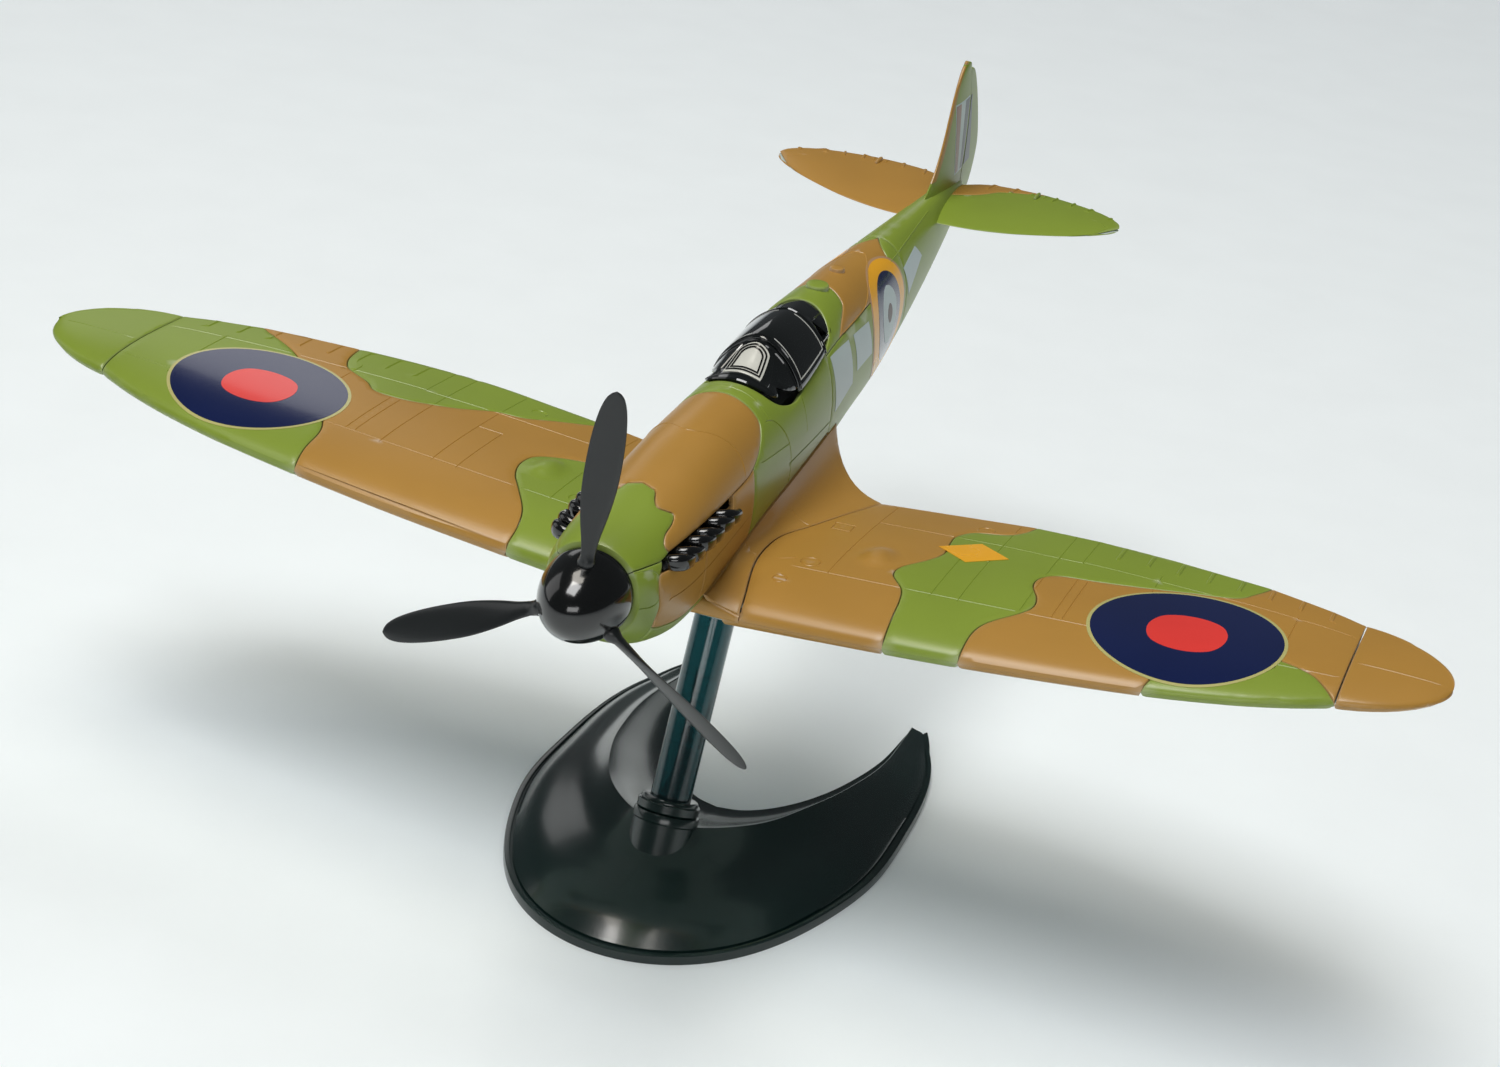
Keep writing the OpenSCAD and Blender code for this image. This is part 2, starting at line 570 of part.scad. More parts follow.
// Distance from the centre plane, front, rear of the tailplane
tail_rows = [[2.2, 166.6, 191.4], [6, 166.2, 194.2], [12, 166.8, 195], [18, 168.6, 194.9], [24, 171.6, 193.8],
             [30, 175.2, 192], [34.5, 178.9, 189.8], [36.9, 181.8, 187.4], [37.7, 183.6, 185.4]];
tail_z = 8.6;
module tailplane() {
  airframe() difference() {
    loft([
      for (r = tail_rows)
        let (front = [r[0], r[1], tail_z + 0.01 * r[0]], rear = [r[0], r[2], tail_z + 0.02 * r[0]])
        lens(front, rear, [0, 0, 1], mix(2.4, 0.8, r[0] / 38))
    ]);
    linear_extrude(20) polygon([[-20, 160], [5.3, 160], [1.9, 193], [1.6, 200], [-20, 200]]);
  }
}
module port_tailplane() { color(green) tailplane(); }
module starboard_tailplane() { color(brown) starboard() tailplane(); }
module tail_wheel() {
  color(black) airframe() {
    translate([0, 172, -5.6]) cylinder(r = 0.8, h = 1.6);
    translate([-0.9, 172.4, -5.6]) rotate([0, 90, 0]) cylinder(r = 1.9, h = 1.8);
  }
}

// ---- Wing panels --------------------------------------------------------------------

// Edges are [distance from the centre plane, share of the chord]
even = [0, 0.02, 0.07, 0.15, 0.25, 0.36, 0.5, 0.65, 0.8, 0.92, 1];
band_in = [[41.3, 0], [40.7, 0.1], [40, 0.2], [39, 0.28], [36.4, 0.36], [36.6, 0.43], [39, 0.5],
           [40.5, 0.57], [40.8, 0.64], [40.3, 0.72], [40.6, 0.79], [43.6, 0.84], [48.4, 0.88], [52, 1]];
band_out = [[54.4, 0], [54.6, 0.1], [56, 0.18], [59.6, 0.26], [61, 0.34], [60.4, 0.42], [58.8, 0.5],
            [60, 0.58], [69, 0.63], [76, 0.67], [84, 0.73], [92, 0.8], [94.6, 0.9], [96.6, 1]];
// Seam of the fuselage fillet, from the front of the wing to its rear
function root_point(t) = [seam_x(mix(27.4, 85.9, t)) + seam / 2, t];
root_edge = [for (i = [0:13]) root_point(i / 13)];
outer_front = [[55, 0], [62, 0], [68, 0], [72, 0], [76, 0], [80, 0], [84.4, 0], [86.5, 0.1], [90, 0.19],
               [96, 0.27], [102, 0.3], [106, 0.27], [109.4, 0.2], [111.8, 0.1], [113.4, 0.02], [113.9, 0.01]];
outer_rear = [each [for (i = [1:13]) band_out[i]], [102, 1], [108, 1], [113.9, 1]];
edge_rear = [for (i = [6:14]) outer_front[i]];
edge_front = [for (x = [85.4, 89, 93, 98, 102, 106, 109, 111.6, 113.2]) [x, 0]];
tip_line = [for (i = [0:7]) tip_seam + 0.1 + (tip_x - tip_seam - 0.3) * (1 - (1 - i / 7)^1.6)];

module port_wing_inner() { color(brown) airframe() panel(root_edge, band_in, upper_wing, chord, 6); }
module port_wing_band() { color(green) airframe() panel(band_in, band_out, upper_wing, chord, 6); }
module port_wing_outer() { color(brown) airframe() panel(outer_rear, outer_front, upper_wing, chord, 8); }
module port_wing_edge() { color(green) airframe() panel(edge_rear, edge_front, upper_wing, chord, 3); }
module wing_tip() {
  shell([for (t = even) [for (x = tip_line) upper_wing(x, t, false)]],
        [for (t = even) [for (x = tip_line) upper_wing(x, t, true)]]);
}
module port_wing_tip() { color(brown) airframe() wing_tip(); }

// Starboard wing, drawn to port and mirrored
patch_out = [[26.6, 0], [26.7, 0.08], [28.6, 0.17], [32.2, 0.27], [35, 0.36], [36.1, 0.45], [35.4, 0.53],
             [32, 0.58], [27, 0.61]];
patch_in = [for (i = [0:8]) root_point(i * 0.61 / 8)];
flap_front = [[32.9, 1], [35.8, 0.925], [40.2, 0.855], [45, 0.8], [50, 0.755], [55.5, 0.685], [60.2, 0.65],
              [64, 0.625], [67.6, 0.61], [71.2, 0.635], [73.6, 0.67], [75.6, 0.705], [77.8, 0.735],
              [79.8, 0.775], [81.2, 0.84], [82.2, 0.91], [82.9, 1]];
flap_rear = [for (i = [0:16]) [33.4 + i * (82.5 - 33.4) / 16, 1]];
// Outer edge of the starboard middle panel, under the disc and round to the rear edge
middle_out = [[68.8, 0], [70, 0.1], [71.3, 0.2], [73.4, 0.32], [79.6, 0.5], [89.5, 0.76], [97.4, 0.92],
              [100.8, 1]];
module starboard_wing_inner() {
  color(green) airframe() starboard() panel(patch_in, patch_out, upper_wing, chord, 4);
}
// Front and rear edges of the middle panel, which runs behind the patch and round the flap
middle_front = [[16.6, 0.635], [21, 0.63], [27, 0.625], [32, 0.595], [35.8, 0.54], [36.5, 0.45],
                [35.3, 0.36], [32.5, 0.27], [28.9, 0.17], [27.1, 0.08], [27, 0], [38, 0], [50, 0], [60, 0],
                each middle_out];
middle_rear = [[22.7, 1], [24.5, 1], [27, 1], each flap_front, [92, 1], [99.6, 1]];
module starboard_wing_middle() {
  color(brown) airframe() starboard() panel(middle_front, middle_rear, upper_wing, chord, 6);
}
module starboard_wing_flap() {
  color(green) airframe() starboard() panel(flap_rear, flap_front, upper_wing, chord, 3);
}
module starboard_wing_outer() {
  tip_edge = [for (t = [0, 0.1, 0.2, 0.32, 0.5, 0.7, 0.9, 1]) [tip_seam, t]];
  color(green) airframe() starboard() panel(middle_out, tip_edge, upper_wing, chord, 7);
}
module starboard_wing_tip() { color(green) airframe() starboard() wing_tip(); }

// Lower skin of a wing, open over the bay of its leg and wheel
module lower_skin() {
  xs = [13.2, 16.9, 21, 26, 31, 36, 42.6, 50, 57.6, 64, 74, 84, 94, 104, 110, 116, 121, 125.5, 128.6, 130.6];
  vs = [0, 0.02, 0.07, 0.13, 0.2, 0.27, 0.37, 0.49, 0.6, 0.7, 0.8, 0.9, 1];
  shell([for (x = xs) [for (t = vs) lower_wing(x, t, false)]],
        [for (x = xs) [for (t = vs) lower_wing(x, t, true)]],
        function(i, j) !(i >= 1 && i <= 7 && (j == 5 || j == 6)) && !(i >= 6 && i <= 7 && j == 4));
}
module port_lower_wing() { color(sky) airframe() lower_skin(); }
module starboard_lower_wing() { color(sky) airframe() starboard() lower_skin(); }

module radiator() {
  color(sky) airframe() starboard() scoop(30, 66, 12, 14, 3.4);
}
module oil_cooler() {
  color(sky) airframe() scoop(30, 66, 7, 13, 3);
}
// Open-fronted scoop under the wing at x, y, of a given width, length and depth
module scoop(x, y, w, l, d) {
  t = (y - lead(x)) / (trail(x) - lead(x));
  translate([x, y, wing_bottom(x + w / 2, t) - 1]) rotate([0, -spar_dihedral, 0]) difference() {
    translate([-w / 2, 0, -d]) cube([w, l, d]);
    translate([-w / 2 + 0.8, -1, -d + 0.8]) cube([w - 1.6, l + 2, d - 1.6]);
  }
}
module intake() {
  color(sky) airframe() translate([0, 42, wing_bottom(13, 0.25) - 0.6]) difference() {
    rotate([-90, 0, 0]) cylinder(r = 2.6, h = 12);
    translate([0, -1, 0]) rotate([-90, 0, 0]) cylinder(r = 1.8, h = 8);
    translate([-5, -1, -0.1]) cube([10, 20, 10]);
  }
}

// ---- Undercarriage ------------------------------------------------------------------

leg_rise = 1;
// Places a part in a leg's frame: origin at the pivot, X along the stowed leg
module leg_frame() {
  airframe() translate([pivot_x, pivot_y, pivot_z]) rotate([0, -leg_rise, 0]) children();
}
module gear_pin() {
  color(steel) airframe()
    translate([pivot_x, 42.1, pivot_z]) rotate([-90, 0, 0]) cylinder(r = pin_r, h = 7.9);
}
module port_gear_pin() { gear_pin(); }
module starboard_gear_pin() { starboard() gear_pin(); }

axle_r = 0.9;
module gear_leg() {
  color(grey) leg_frame() difference() {
    union() {
      translate([0, -1.9, 0]) rotate([-90, 0, 0]) cylinder(r = 1.5, h = 3.8);
      rotate([0, 90, 0]) cylinder(r = 0.8, h = leg_l + 1);
      translate([3, -2.4, -1.5]) cube([leg_l - 12, 4.8, 0.8]);
      translate([leg_l, 0, 0]) cylinder(r = axle_r, h = 1.2 + wheel_t);
    }
    translate([0, -3, 0]) rotate([-90, 0, 0]) cylinder(r = pin_r + 0.06, h = 6);
  }
}
module port_gear_leg() { gear_leg(); }
module starboard_gear_leg() { starboard() gear_leg(); }

module wheel() {
  color(black) leg_frame() translate([leg_l, 0, 1.1]) {
    rotate_extrude() translate([axle_r + 0.06, 0]) polygon([
      [0, 0], [wheel_r - 2.2, 0], [wheel_r - 2.1, 0.2], [wheel_r - 1.4, 0], [wheel_r - 1, 0.35],
      [wheel_r - 1, wheel_t - 0.35], [wheel_r - 1.4, wheel_t], [0, wheel_t]]);
  }
}
module port_wheel() { wheel(); }
module starboard_wheel() { starboard() wheel(); }

// ---- Propeller ----------------------------------------------------------------------

blade_y = -4;
plate_t = 0.8;
function spinner_at(s) = spinner_r * sqrt(1 - s^1.9);
module spinner() {
  profile = [for (i = [0:16]) let (s = i / 16) [spinner_at(s), s * spinner_l]];
  hollow = [
    for (i = [0:12]) let (s = i / 12) [max(spinner_at(s * 0.97) - 1.1, 0), s * (spinner_l - 1.2) - 0.01]
  ];
  color(black) difference() {
    thrust_axis(-0.4) rotate([180, 0, 0]) difference() {
      rotate_extrude() polygon([[0, 0], each profile, [0, spinner_l]]);
      rotate_extrude() polygon([[0, -0.1], [hollow[0][0], -0.1], each hollow, [0, spinner_l - 1.2]]);
    }
    for (k = [0:2]) blade_frame(k) cylinder(r = 1.9, h = 10);
  }
}
// Places a part drawn along Z on a blade's axis
module blade_frame(k) {
  airframe() translate([0, blade_y, 0]) rotate([0, 90 - first_blade - 120 * k, 0]) children();
}
module spinner_plate() {
  color(black) difference() {
    thrust_axis(-0.35) cylinder(r = spinner_r - 0.2, h = plate_t);
    thrust_axis(-5) cylinder(r = shaft_r + 0.02, h = 10);
  }
}
// Radius, chord, blade angle and thickness along a blade
blade_rows = [[8, 2.6, 62, 1.7], [11, 3.2, 54, 1.4], [15, 4.7, 46, 1.15], [20, 5.8, 39, 1],
              [25, 5.9, 34, 0.85], [30, 5.4, 30, 0.7], [34, 4.3, 27, 0.6], [36.4, 2.7, 26, 0.5],
              [37.4, 1, 26, 0.4]];
function blade_ring(r) =
  let (c = r[1] / 2, t = r[3] / 2, b = r[2])
  [for (i = [0:11]) let (a = i * 30, u = c * cos(a), v = t * sin(a))
    [u * cos(b) - v * sin(b), u * sin(b) + v * cos(b), r[0] * prop_r / 37.4]];
module propeller() {
  color(black) difference() {
    union() {
      thrust_axis(-6.4) cylinder(r = 3.2, h = 5.2);
      for (k = [0:2]) blade_frame(k) {
        cylinder(r = 1.4, h = 8.6);
        loft([for (i = [0:12]) blade_ring(smooth(blade_rows, 8 + 29.4 * (1 - (1 - i / 12)^1.4)))]);
      }
    }
    thrust_axis(-10) cylinder(r = shaft_r + 0.02, h = 12);
  }
}
module prop_shaft() {
  color(steel) thrust_axis(-6.8) cylinder(r = shaft_r, h = 26.4);
}
module shaft_clip() {
  color(steel) difference() {
    thrust_axis(16.4) cylinder(r = 2.6, h = 1.4);
    thrust_axis(10) cylinder(r = shaft_r + 0.02, h = 12);
  }
}

stand_base();
stem_collar();
stem();
airframe_core();
nose_bush();
wing_spar();
nose_cowl();
chin_cowl();
lower_cowl();
upper_cowl();
port_cowl_side();
starboard_cowl_side();
cockpit_surround();
rear_collar();
spine_cover();
port_rear_side();
starboard_rear_side();
tail_cone();
belly_pan();
belly_fairing();
port_wing_root();
starboard_wing_root();
canopy();
windscreen_pane();
port_exhausts();
starboard_exhausts();
fin();
rudder();
port_tailplane();
starboard_tailplane();
tail_wheel();
port_wing_inner();
port_wing_band();
port_wing_outer();
port_wing_edge();
port_wing_tip();
starboard_wing_inner();
starboard_wing_middle();
starboard_wing_flap();
starboard_wing_outer();
starboard_wing_tip();
port_lower_wing();
starboard_lower_wing();
radiator();
oil_cooler();
intake();
port_gear_pin();
starboard_gear_pin();
port_gear_leg();
starboard_gear_leg();
port_wheel();
starboard_wheel();
spinner();
spinner_plate();
propeller();
prop_shaft();
shaft_clip();
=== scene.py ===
"""Looks of the propeller plane model on its crescent stand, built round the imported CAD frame."""

import json
import math

import bpy
import numpy as np
from mathutils import Matrix, Vector
from mathutils.geometry import delaunay_2d_cdt
from mathutils.kdtree import KDTree


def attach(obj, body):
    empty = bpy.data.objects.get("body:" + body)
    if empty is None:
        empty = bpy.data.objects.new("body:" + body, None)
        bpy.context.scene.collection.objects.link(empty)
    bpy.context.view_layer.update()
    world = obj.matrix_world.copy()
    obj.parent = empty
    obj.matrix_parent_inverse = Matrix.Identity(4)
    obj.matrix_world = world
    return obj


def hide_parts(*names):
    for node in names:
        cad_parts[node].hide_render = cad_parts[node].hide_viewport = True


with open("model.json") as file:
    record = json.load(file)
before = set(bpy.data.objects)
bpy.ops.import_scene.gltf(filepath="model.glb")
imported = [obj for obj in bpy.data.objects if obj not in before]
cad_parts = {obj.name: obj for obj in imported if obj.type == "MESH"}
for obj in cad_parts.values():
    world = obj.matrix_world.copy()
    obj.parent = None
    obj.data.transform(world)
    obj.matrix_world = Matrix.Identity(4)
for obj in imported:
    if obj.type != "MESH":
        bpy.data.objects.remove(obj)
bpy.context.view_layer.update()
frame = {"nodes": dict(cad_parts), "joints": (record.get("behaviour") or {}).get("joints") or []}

# ---- Frame of the plane ---------------------------------------------------------------
# The plane is drawn in millimetres from the centre of the spinner's base, X to port, Y aft and Z up.

MM = 0.001
SPIN = next(j for j in frame["joints"] if j["name"] == "prop_spin")
NOSE = np.array(SPIN["pos_m"])
PITCH = math.atan2(SPIN["axis"][2], SPIN["axis"][1])
LIFT = next(j for j in frame["joints"] if j["name"] == "lift_off")
STEM_DIR = np.array(LIFT["axis"])


def to_world(points):
    """Points of the plane's frame, in metres in the model's frame."""
    p = np.asarray(points, float) * MM
    c, s = math.cos(PITCH), math.sin(PITCH)
    return np.column_stack([p[:, 0], c * p[:, 1] - s * p[:, 2], s * p[:, 1] + c * p[:, 2]]) + NOSE


def plain(points):
    """Points given in the model's frame in millimetres, in metres."""
    return np.asarray(points, float) * MM


# ---- Curves ---------------------------------------------------------------------------


def hermite(a, b, ma, mb, s):
    """Cubic from a to b with end slopes ma and mb."""
    start, end = 2 * s**3 - 3 * s**2 + 1, 3 * s**2 - 2 * s**3
    return start * a + (s**3 - 2 * s**2 + s) * ma + end * b + (s**3 - s**2) * mb


def smooth(table, x):
    """Smooth curve through the rows of a table, whose first column is the position. One row per x."""
    t = np.asarray(table, float)
    x = np.clip(np.atleast_1d(np.asarray(x, float)), t[0, 0], t[-1, 0])
    last = len(t) - 1
    i = np.clip(np.searchsorted(t[:, 0], x, side="right") - 1, 0, last - 1)
    h = (t[i + 1, 0] - t[i, 0])[:, None]
    s = (x - t[i, 0])[:, None] / h

    def rise(a, b):
        return (t[b] - t[a]) / (t[b, 0] - t[a, 0])[:, None]

    ma = rise(np.maximum(i - 1, 0), i + 1)
    mb = rise(i, np.minimum(i + 2, last))
    return hermite(t[i], t[i + 1], h * ma, h * mb, s)


def along(points, u):
    """Smooth curve through a list of points, by position number."""
    p = np.asarray(points, float)
    u = np.atleast_1d(np.asarray(u, float))
    last = len(p) - 1
    i = np.clip(np.floor(u).astype(int), 0, last - 1)
    s = (u - i)[:, None]
    ma = (p[i + 1] - p[np.maximum(i - 1, 0)]) / 2
    mb = (p[np.minimum(i + 2, last)] - p[i]) / 2
    return hermite(p[i], p[i + 1], ma, mb, s)


def mix(a, b, s):
    return a + (b - a) * s


def signed_pow(v, e):
    return np.sign(v) * np.abs(v) ** e


def curve(points, fine=6):
    """The points joined by a smooth line with several steps between each pair."""
    n = len(points) - 1
    return along(points, np.linspace(0, n, n * fine + 1))


def circle(n):
    """Cosines and sines of n even steps round a full turn."""
    a = np.arange(n) * math.tau / n
    return np.cos(a), np.sin(a)


def polyline(*points, step=1.0, scale=(1.0, 1.0)):
    """Straight stretches between the points, cut into steps of about the given length."""
    out = [np.asarray(points[0], float)]
    for a, b in zip(points[:-1], points[1:]):
        a, b = np.asarray(a, float), np.asarray(b, float)
        n = max(1, int(math.ceil(np.linalg.norm((b - a) * scale) / step)))
        out += [mix(a, b, k / n) for k in range(1, n + 1)]
    return np.array(out)


def ring(centre, radii, n=96, power=2.0, turn=0.0):
    """Closed superellipse round a centre; power 2 is an ellipse."""
    a = np.arange(n) * 2 * math.pi / n
    c, s = signed_pow(np.cos(a), 2 / power), signed_pow(np.sin(a), 2 / power)
    ct, st = math.cos(turn), math.sin(turn)
    x, y = c * ct - s * st, c * st + s * ct
    return np.column_stack([centre[0] + radii[0] * x, centre[1] + radii[1] * y])


# ---- Surfaces -------------------------------------------------------------------------


class Surface:
    """A skin placed by two coordinates. scale is about how many millimetres a unit of each is worth."""

    def __init__(self, outer, inner, scale):
        self.outer, self.inner, self.scale = outer, inner, np.array(scale, float)

    def tangents(self, uv):
        """Points, both tangents and the outward normals."""
        uv = np.asarray(uv, float)
        du = np.array([0.02 / self.scale[0], 0])
        dv = np.array([0, 0.02 / self.scale[1]])
        p = self.outer(uv)
        pu = (self.outer(uv + du) - self.outer(uv - du)) / (2 * du[0])
        pv = (self.outer(uv + dv) - self.outer(uv - dv)) / (2 * dv[1])
        n = np.cross(pu, pv)
        n /= np.maximum(np.linalg.norm(n, axis=1), 1e-9)[:, None]
        way = np.sum(n * (p - self.inner(uv))) or 1.0
        return p, pu, pv, n * np.sign(way)

    def mirrored(self):
        flip = np.array([-1, 1, 1])
        return Surface(lambda uv: self.outer(uv) * flip, lambda uv: self.inner(uv) * flip, self.scale)

    def on(self, way):
        """This surface on the port side, at way 1, or mirrored to starboard, at way -1."""
        return self if way == 1 else self.mirrored()

    def film(self, lift, thick):
        """A thin sheet lying at a small lift over this surface."""

        def at(height):
            def place(uv):
                p, _, _, n = self.tangents(uv)
                return p + n * height

            return place

        return Surface(at(lift), at(lift - thick), self.scale)


def shifted(surface, line, side, closed=False):
    """The line moved sideways over the surface by a distance in millimetres."""
    line = np.asarray(line, float)
    p, pu, pv, n = surface.tangents(line)
    if closed:
        ahead, behind = np.roll(p, -1, 0) - p, p - np.roll(p, 1, 0)
    else:
        ahead = np.vstack([p[1:] - p[:-1], p[-1:] - p[-2:-1]])
        behind = np.vstack([p[1:2] - p[:1], p[1:] - p[:-1]])
    ahead /= np.maximum(np.linalg.norm(ahead, axis=1), 1e-9)[:, None]
    behind /= np.maximum(np.linalg.norm(behind, axis=1), 1e-9)[:, None]
    half = (ahead + behind) / 2
    size = np.maximum(np.linalg.norm(half, axis=1), 0.45)
    way = np.cross(n, half / np.maximum(np.linalg.norm(half, axis=1), 1e-9)[:, None])
    way *= (side / size)[:, None]
    a, b, c = (pu * pu).sum(1), (pu * pv).sum(1), (pv * pv).sum(1)
    d, e = (way * pu).sum(1), (way * pv).sum(1)
    det = np.maximum(a * c - b * b, 1e-9)
    return line + np.column_stack([(c * d - b * e) / det, (a * e - b * d) / det])


def inside(points, polygon):
    """Which points lie in the polygon, in two dimensions."""
    x, y = points[:, 0], points[:, 1]
    result = np.zeros(len(points), bool)
    q = np.roll(polygon, -1, 0)
    for (x0, y0), (x1, y1) in zip(polygon, q):
        crosses = (y0 > y) != (y1 > y)
        if y1 != y0:
            result ^= crosses & (x < (x1 - x0) * (y - y0) / (y1 - y0) + x0)
    return result


def distance(points, line, closed=False):
    """Distance of each point from a line through the given points, in three dimensions."""
    a = line if closed else line[:-1]
    b = np.roll(line, -1, 0) if closed else line[1:]
    best = np.full(len(points), 1e9)
    for p, q in zip(a, b):
        d = q - p
        s = np.clip(((points - p) @ d) / max(d @ d, 1e-12), 0, 1)
        best = np.minimum(best, ((points - p - s[:, None] * d) ** 2).sum(1))
    return np.sqrt(best)


class Groove:
    """A line cut into a skin, or a low tape standing on it where deep is negative.

    half is half its width, and flat is the share of the width that keeps the full depth."""

    def __init__(self, line, half=0.17, deep=0.16, closed=False, flat=0.0):
        self.line, self.half, self.deep = np.asarray(line, float), half, deep
        self.closed, self.flat = closed, flat

    def rails(self, surface):
        if self.flat:
            offsets = [-self.half, -self.half * self.flat, self.half * self.flat, self.half]
        else:
            offsets = [-self.half, 0, self.half]
        return [shifted(surface, self.line, o, self.closed) if o else self.line for o in offsets]

    def depth(self, surface, points):
        r = np.full(len(points), 1e9)
        path = surface.outer(self.line)
        near = np.all((points > path.min(0) - 1) & (points < path.max(0) + 1), axis=1)
        r[near] = distance(points[near], path, self.closed)
        return self.deep * np.clip((1 - r / self.half) / (1 - self.flat), 0, 1)


# Depth of a panel's rounded rim at some distances in from its edge, and the gap between panels
EDGE_ROLL = [(0.0, 0.2), (0.1, 0.07), (0.3, 0.0)]
SEAM = 0.16
SIDES = (("port", 1), ("starboard", -1))
# Distance between rows of triangles, and how near a free point may come to a fixed one, both in steps
ROW_GAP, CLEARANCE = 0.87, 0.45
# Near a pinned edge the rim's rounding fades out over this many millimetres
PIN_FADE = 0.8


# ---- Mesh building --------------------------------------------------------------------


def finish_piece(name, points, faces, material, slot, body, replaces=(), sharp=32):
    """A mesh piece of the model's frame, shaded smooth up to an angle, on its body."""
    mesh = bpy.data.meshes.new(name)
    mesh.from_pydata([tuple(p) for p in points], [], [tuple(int(i) for i in f) for f in faces])
    mesh.validate()
    mesh.update()
    mesh.shade_smooth()
    mesh.set_sharp_from_angle(angle=math.radians(sharp))
    mesh.materials.append(material)
    piece = bpy.data.objects.new(name, mesh)
    bpy.context.scene.collection.objects.link(piece)
    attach(piece, body)
    if replaces:
        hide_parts(*replaces)


def oriented(points, faces):
    """The faces, turned so that they look outwards."""
    p = np.asarray(points, float)
    volume = 0.0
    for f in faces:
        for k in range(1, len(f) - 1):
            volume += p[f[0]] @ np.cross(p[f[k]], p[f[k + 1]])
    return faces if volume > 0 else [f[::-1] for f in faces]


def edge_chains(surface, outline, held, seam, roll):
    """The edge of a panel and the loops inside it that its rounded rim needs."""
    side = -1.0 if turns_left(surface, outline) else 1.0
    edge = shifted(surface, outline, -side * seam / 2, True)
    edge[held] = outline[held]
    chains = [(edge, True)]
    if roll:
        for inset, _ in EDGE_ROLL[1:]:
            loop = shifted(surface, outline, -side * (seam / 2 + inset), True)
            chains.append((loop[~held], not held.any()))
    return chains


def fixed_points(chains, edge):
    """Points and edges of the chains, where they lie inside the edge, which is the first chain."""
    verts, edges = [], []
    for number, (chain, closed) in enumerate(chains):
        keep = np.ones(len(chain), bool) if number == 0 else inside(chain, edge)
        ids = {}
        for k in np.flatnonzero(keep):
            ids[k] = len(verts)
            verts.append(chain[k])
        n = len(chain)
        for k in range(n if closed else n - 1):
            if k in ids and (k + 1) % n in ids:
                edges.append((ids[k], ids[(k + 1) % n]))
    return verts, edges


def spread_points(surface, verts, edge, step):
    """Evenly spread points inside the edge, away from the fixed ones."""
    tree = KDTree(len(verts))
    for k, p in enumerate(surface.outer(np.array(verts))):
        tree.insert(Vector(p), k)
    tree.balance()
    low, high = edge.min(0), edge.max(0)
    gap = step / surface.scale
    rows = np.arange(low[1] + gap[1] / 2, high[1], gap[1] * ROW_GAP)
    grid = np.array([(x, v) for r, v in enumerate(rows)
                     for x in np.arange(low[0] + gap[0] * (0.25 + 0.5 * (r % 2)), high[0], gap[0])])
    if not len(grid):
        return []
    grid = grid[inside(grid, edge)]
    return [uv for uv, p in zip(grid, surface.outer(grid)) if tree.find(Vector(p))[2] > CLEARANCE * step]


def flat_mesh(surface, verts, edges, edge, holes):
    """Triangles between the edge and the holes, on the coordinates of the surface."""
    flat = [Vector(p * surface.scale) for p in np.array(verts)]
    result = delaunay_2d_cdt(flat, edges, [], 1, 1e-5)
    uv = np.array([tuple(v) for v in result[0]]) / surface.scale
    faces = np.array([f for f in result[2] if len(f) == 3])
    centre = uv[faces].mean(1)
    keep = inside(centre, edge)
    for h in holes:
        keep &= ~inside(centre, np.asarray(h, float))
    faces = faces[keep]
    used = np.unique(faces)
    renumber = np.full(len(uv), -1)
    renumber[used] = np.arange(len(used))
    return uv[used], renumber[faces]


def relief(surface, points, grooves, edge, held_line, roll):
    """How deep each point lies under the surface, in the grooves and round the rim."""
    deep = np.zeros(len(points))
    for g in grooves:
        d = g.depth(surface, points)
        deep = np.where(np.abs(d) > np.abs(deep), d, deep)
    if roll:
        rim = distance(points, surface.outer(edge), True)
        rolled = np.interp(rim, [r for r, _ in EDGE_ROLL], [d for _, d in EDGE_ROLL]) * roll
        if len(held_line):
            rolled *= np.clip(distance(points, surface.outer(held_line)) / PIN_FADE - 0.3, 0, 1)
        deep = np.where(rolled > np.abs(deep), rolled, deep)
    return deep


def two_sided(faces, n):
    """The outer faces, the same ones turned round for the inner points, and the wall between them."""
    sides = dict.fromkeys(pair for f in faces for pair in ((f[0], f[1]), (f[1], f[2]), (f[2], f[0])))
    result = [tuple(f) for f in faces] + [(f[2] + n, f[1] + n, f[0] + n) for f in faces]
    return result + [(b, a, a + n, b + n) for a, b in sides if (b, a) not in sides]


def panel(name, surface, outline, material, slot, replaces=(), grooves=(), holes=(), step=1.3, roll=1.0,
          seam=SEAM, bump=None, pin=None):
    """Closed panel of a skin inside an outline, with engraved lines, rolled edges and its wall inside.

    step is the size of its triangles. pin says which outline points stay where they are, as at a leading
    edge, with no roll there."""
    outline = np.asarray(outline, float)
    if area_2d(outline * surface.scale) < 0:
        outline = outline[::-1]
    held = pin(outline) if pin else np.zeros(len(outline), bool)
    chains = edge_chains(surface, outline, held, seam, roll)
    edge = chains[0][0]
    chains += [(np.asarray(h, float), True) for h in holes]
    for g in grooves:
        chains += [(rail, g.closed) for rail in g.rails(surface)]
    verts, edges = fixed_points(chains, edge)
    verts += spread_points(surface, verts, edge, step)
    uv, faces = flat_mesh(surface, verts, edges, edge, holes)
    points, _, _, normals = surface.tangents(uv)
    deep = relief(surface, points, grooves, edge, outline[held], roll)
    if bump:
        deep = deep - bump(points)
    every = np.vstack([points - normals * deep[:, None], surface.inner(uv)])
    solid = oriented(every, two_sided(faces, len(uv)))
    finish_piece(name, to_world(every), solid, material, slot, "airframe", replaces)


def film(name, surface, lift, thick, outline, paint, step):
    """Thin coloured sheet on a skin."""
    panel(name, surface.film(lift, thick), outline, paint, "black_gloss", roll=0, seam=0, step=step)


def area_2d(polygon):
    x, y = polygon[:, 0], polygon[:, 1]
    return float(np.sum(x * np.roll(y, -1) - np.roll(x, -1) * y)) / 2


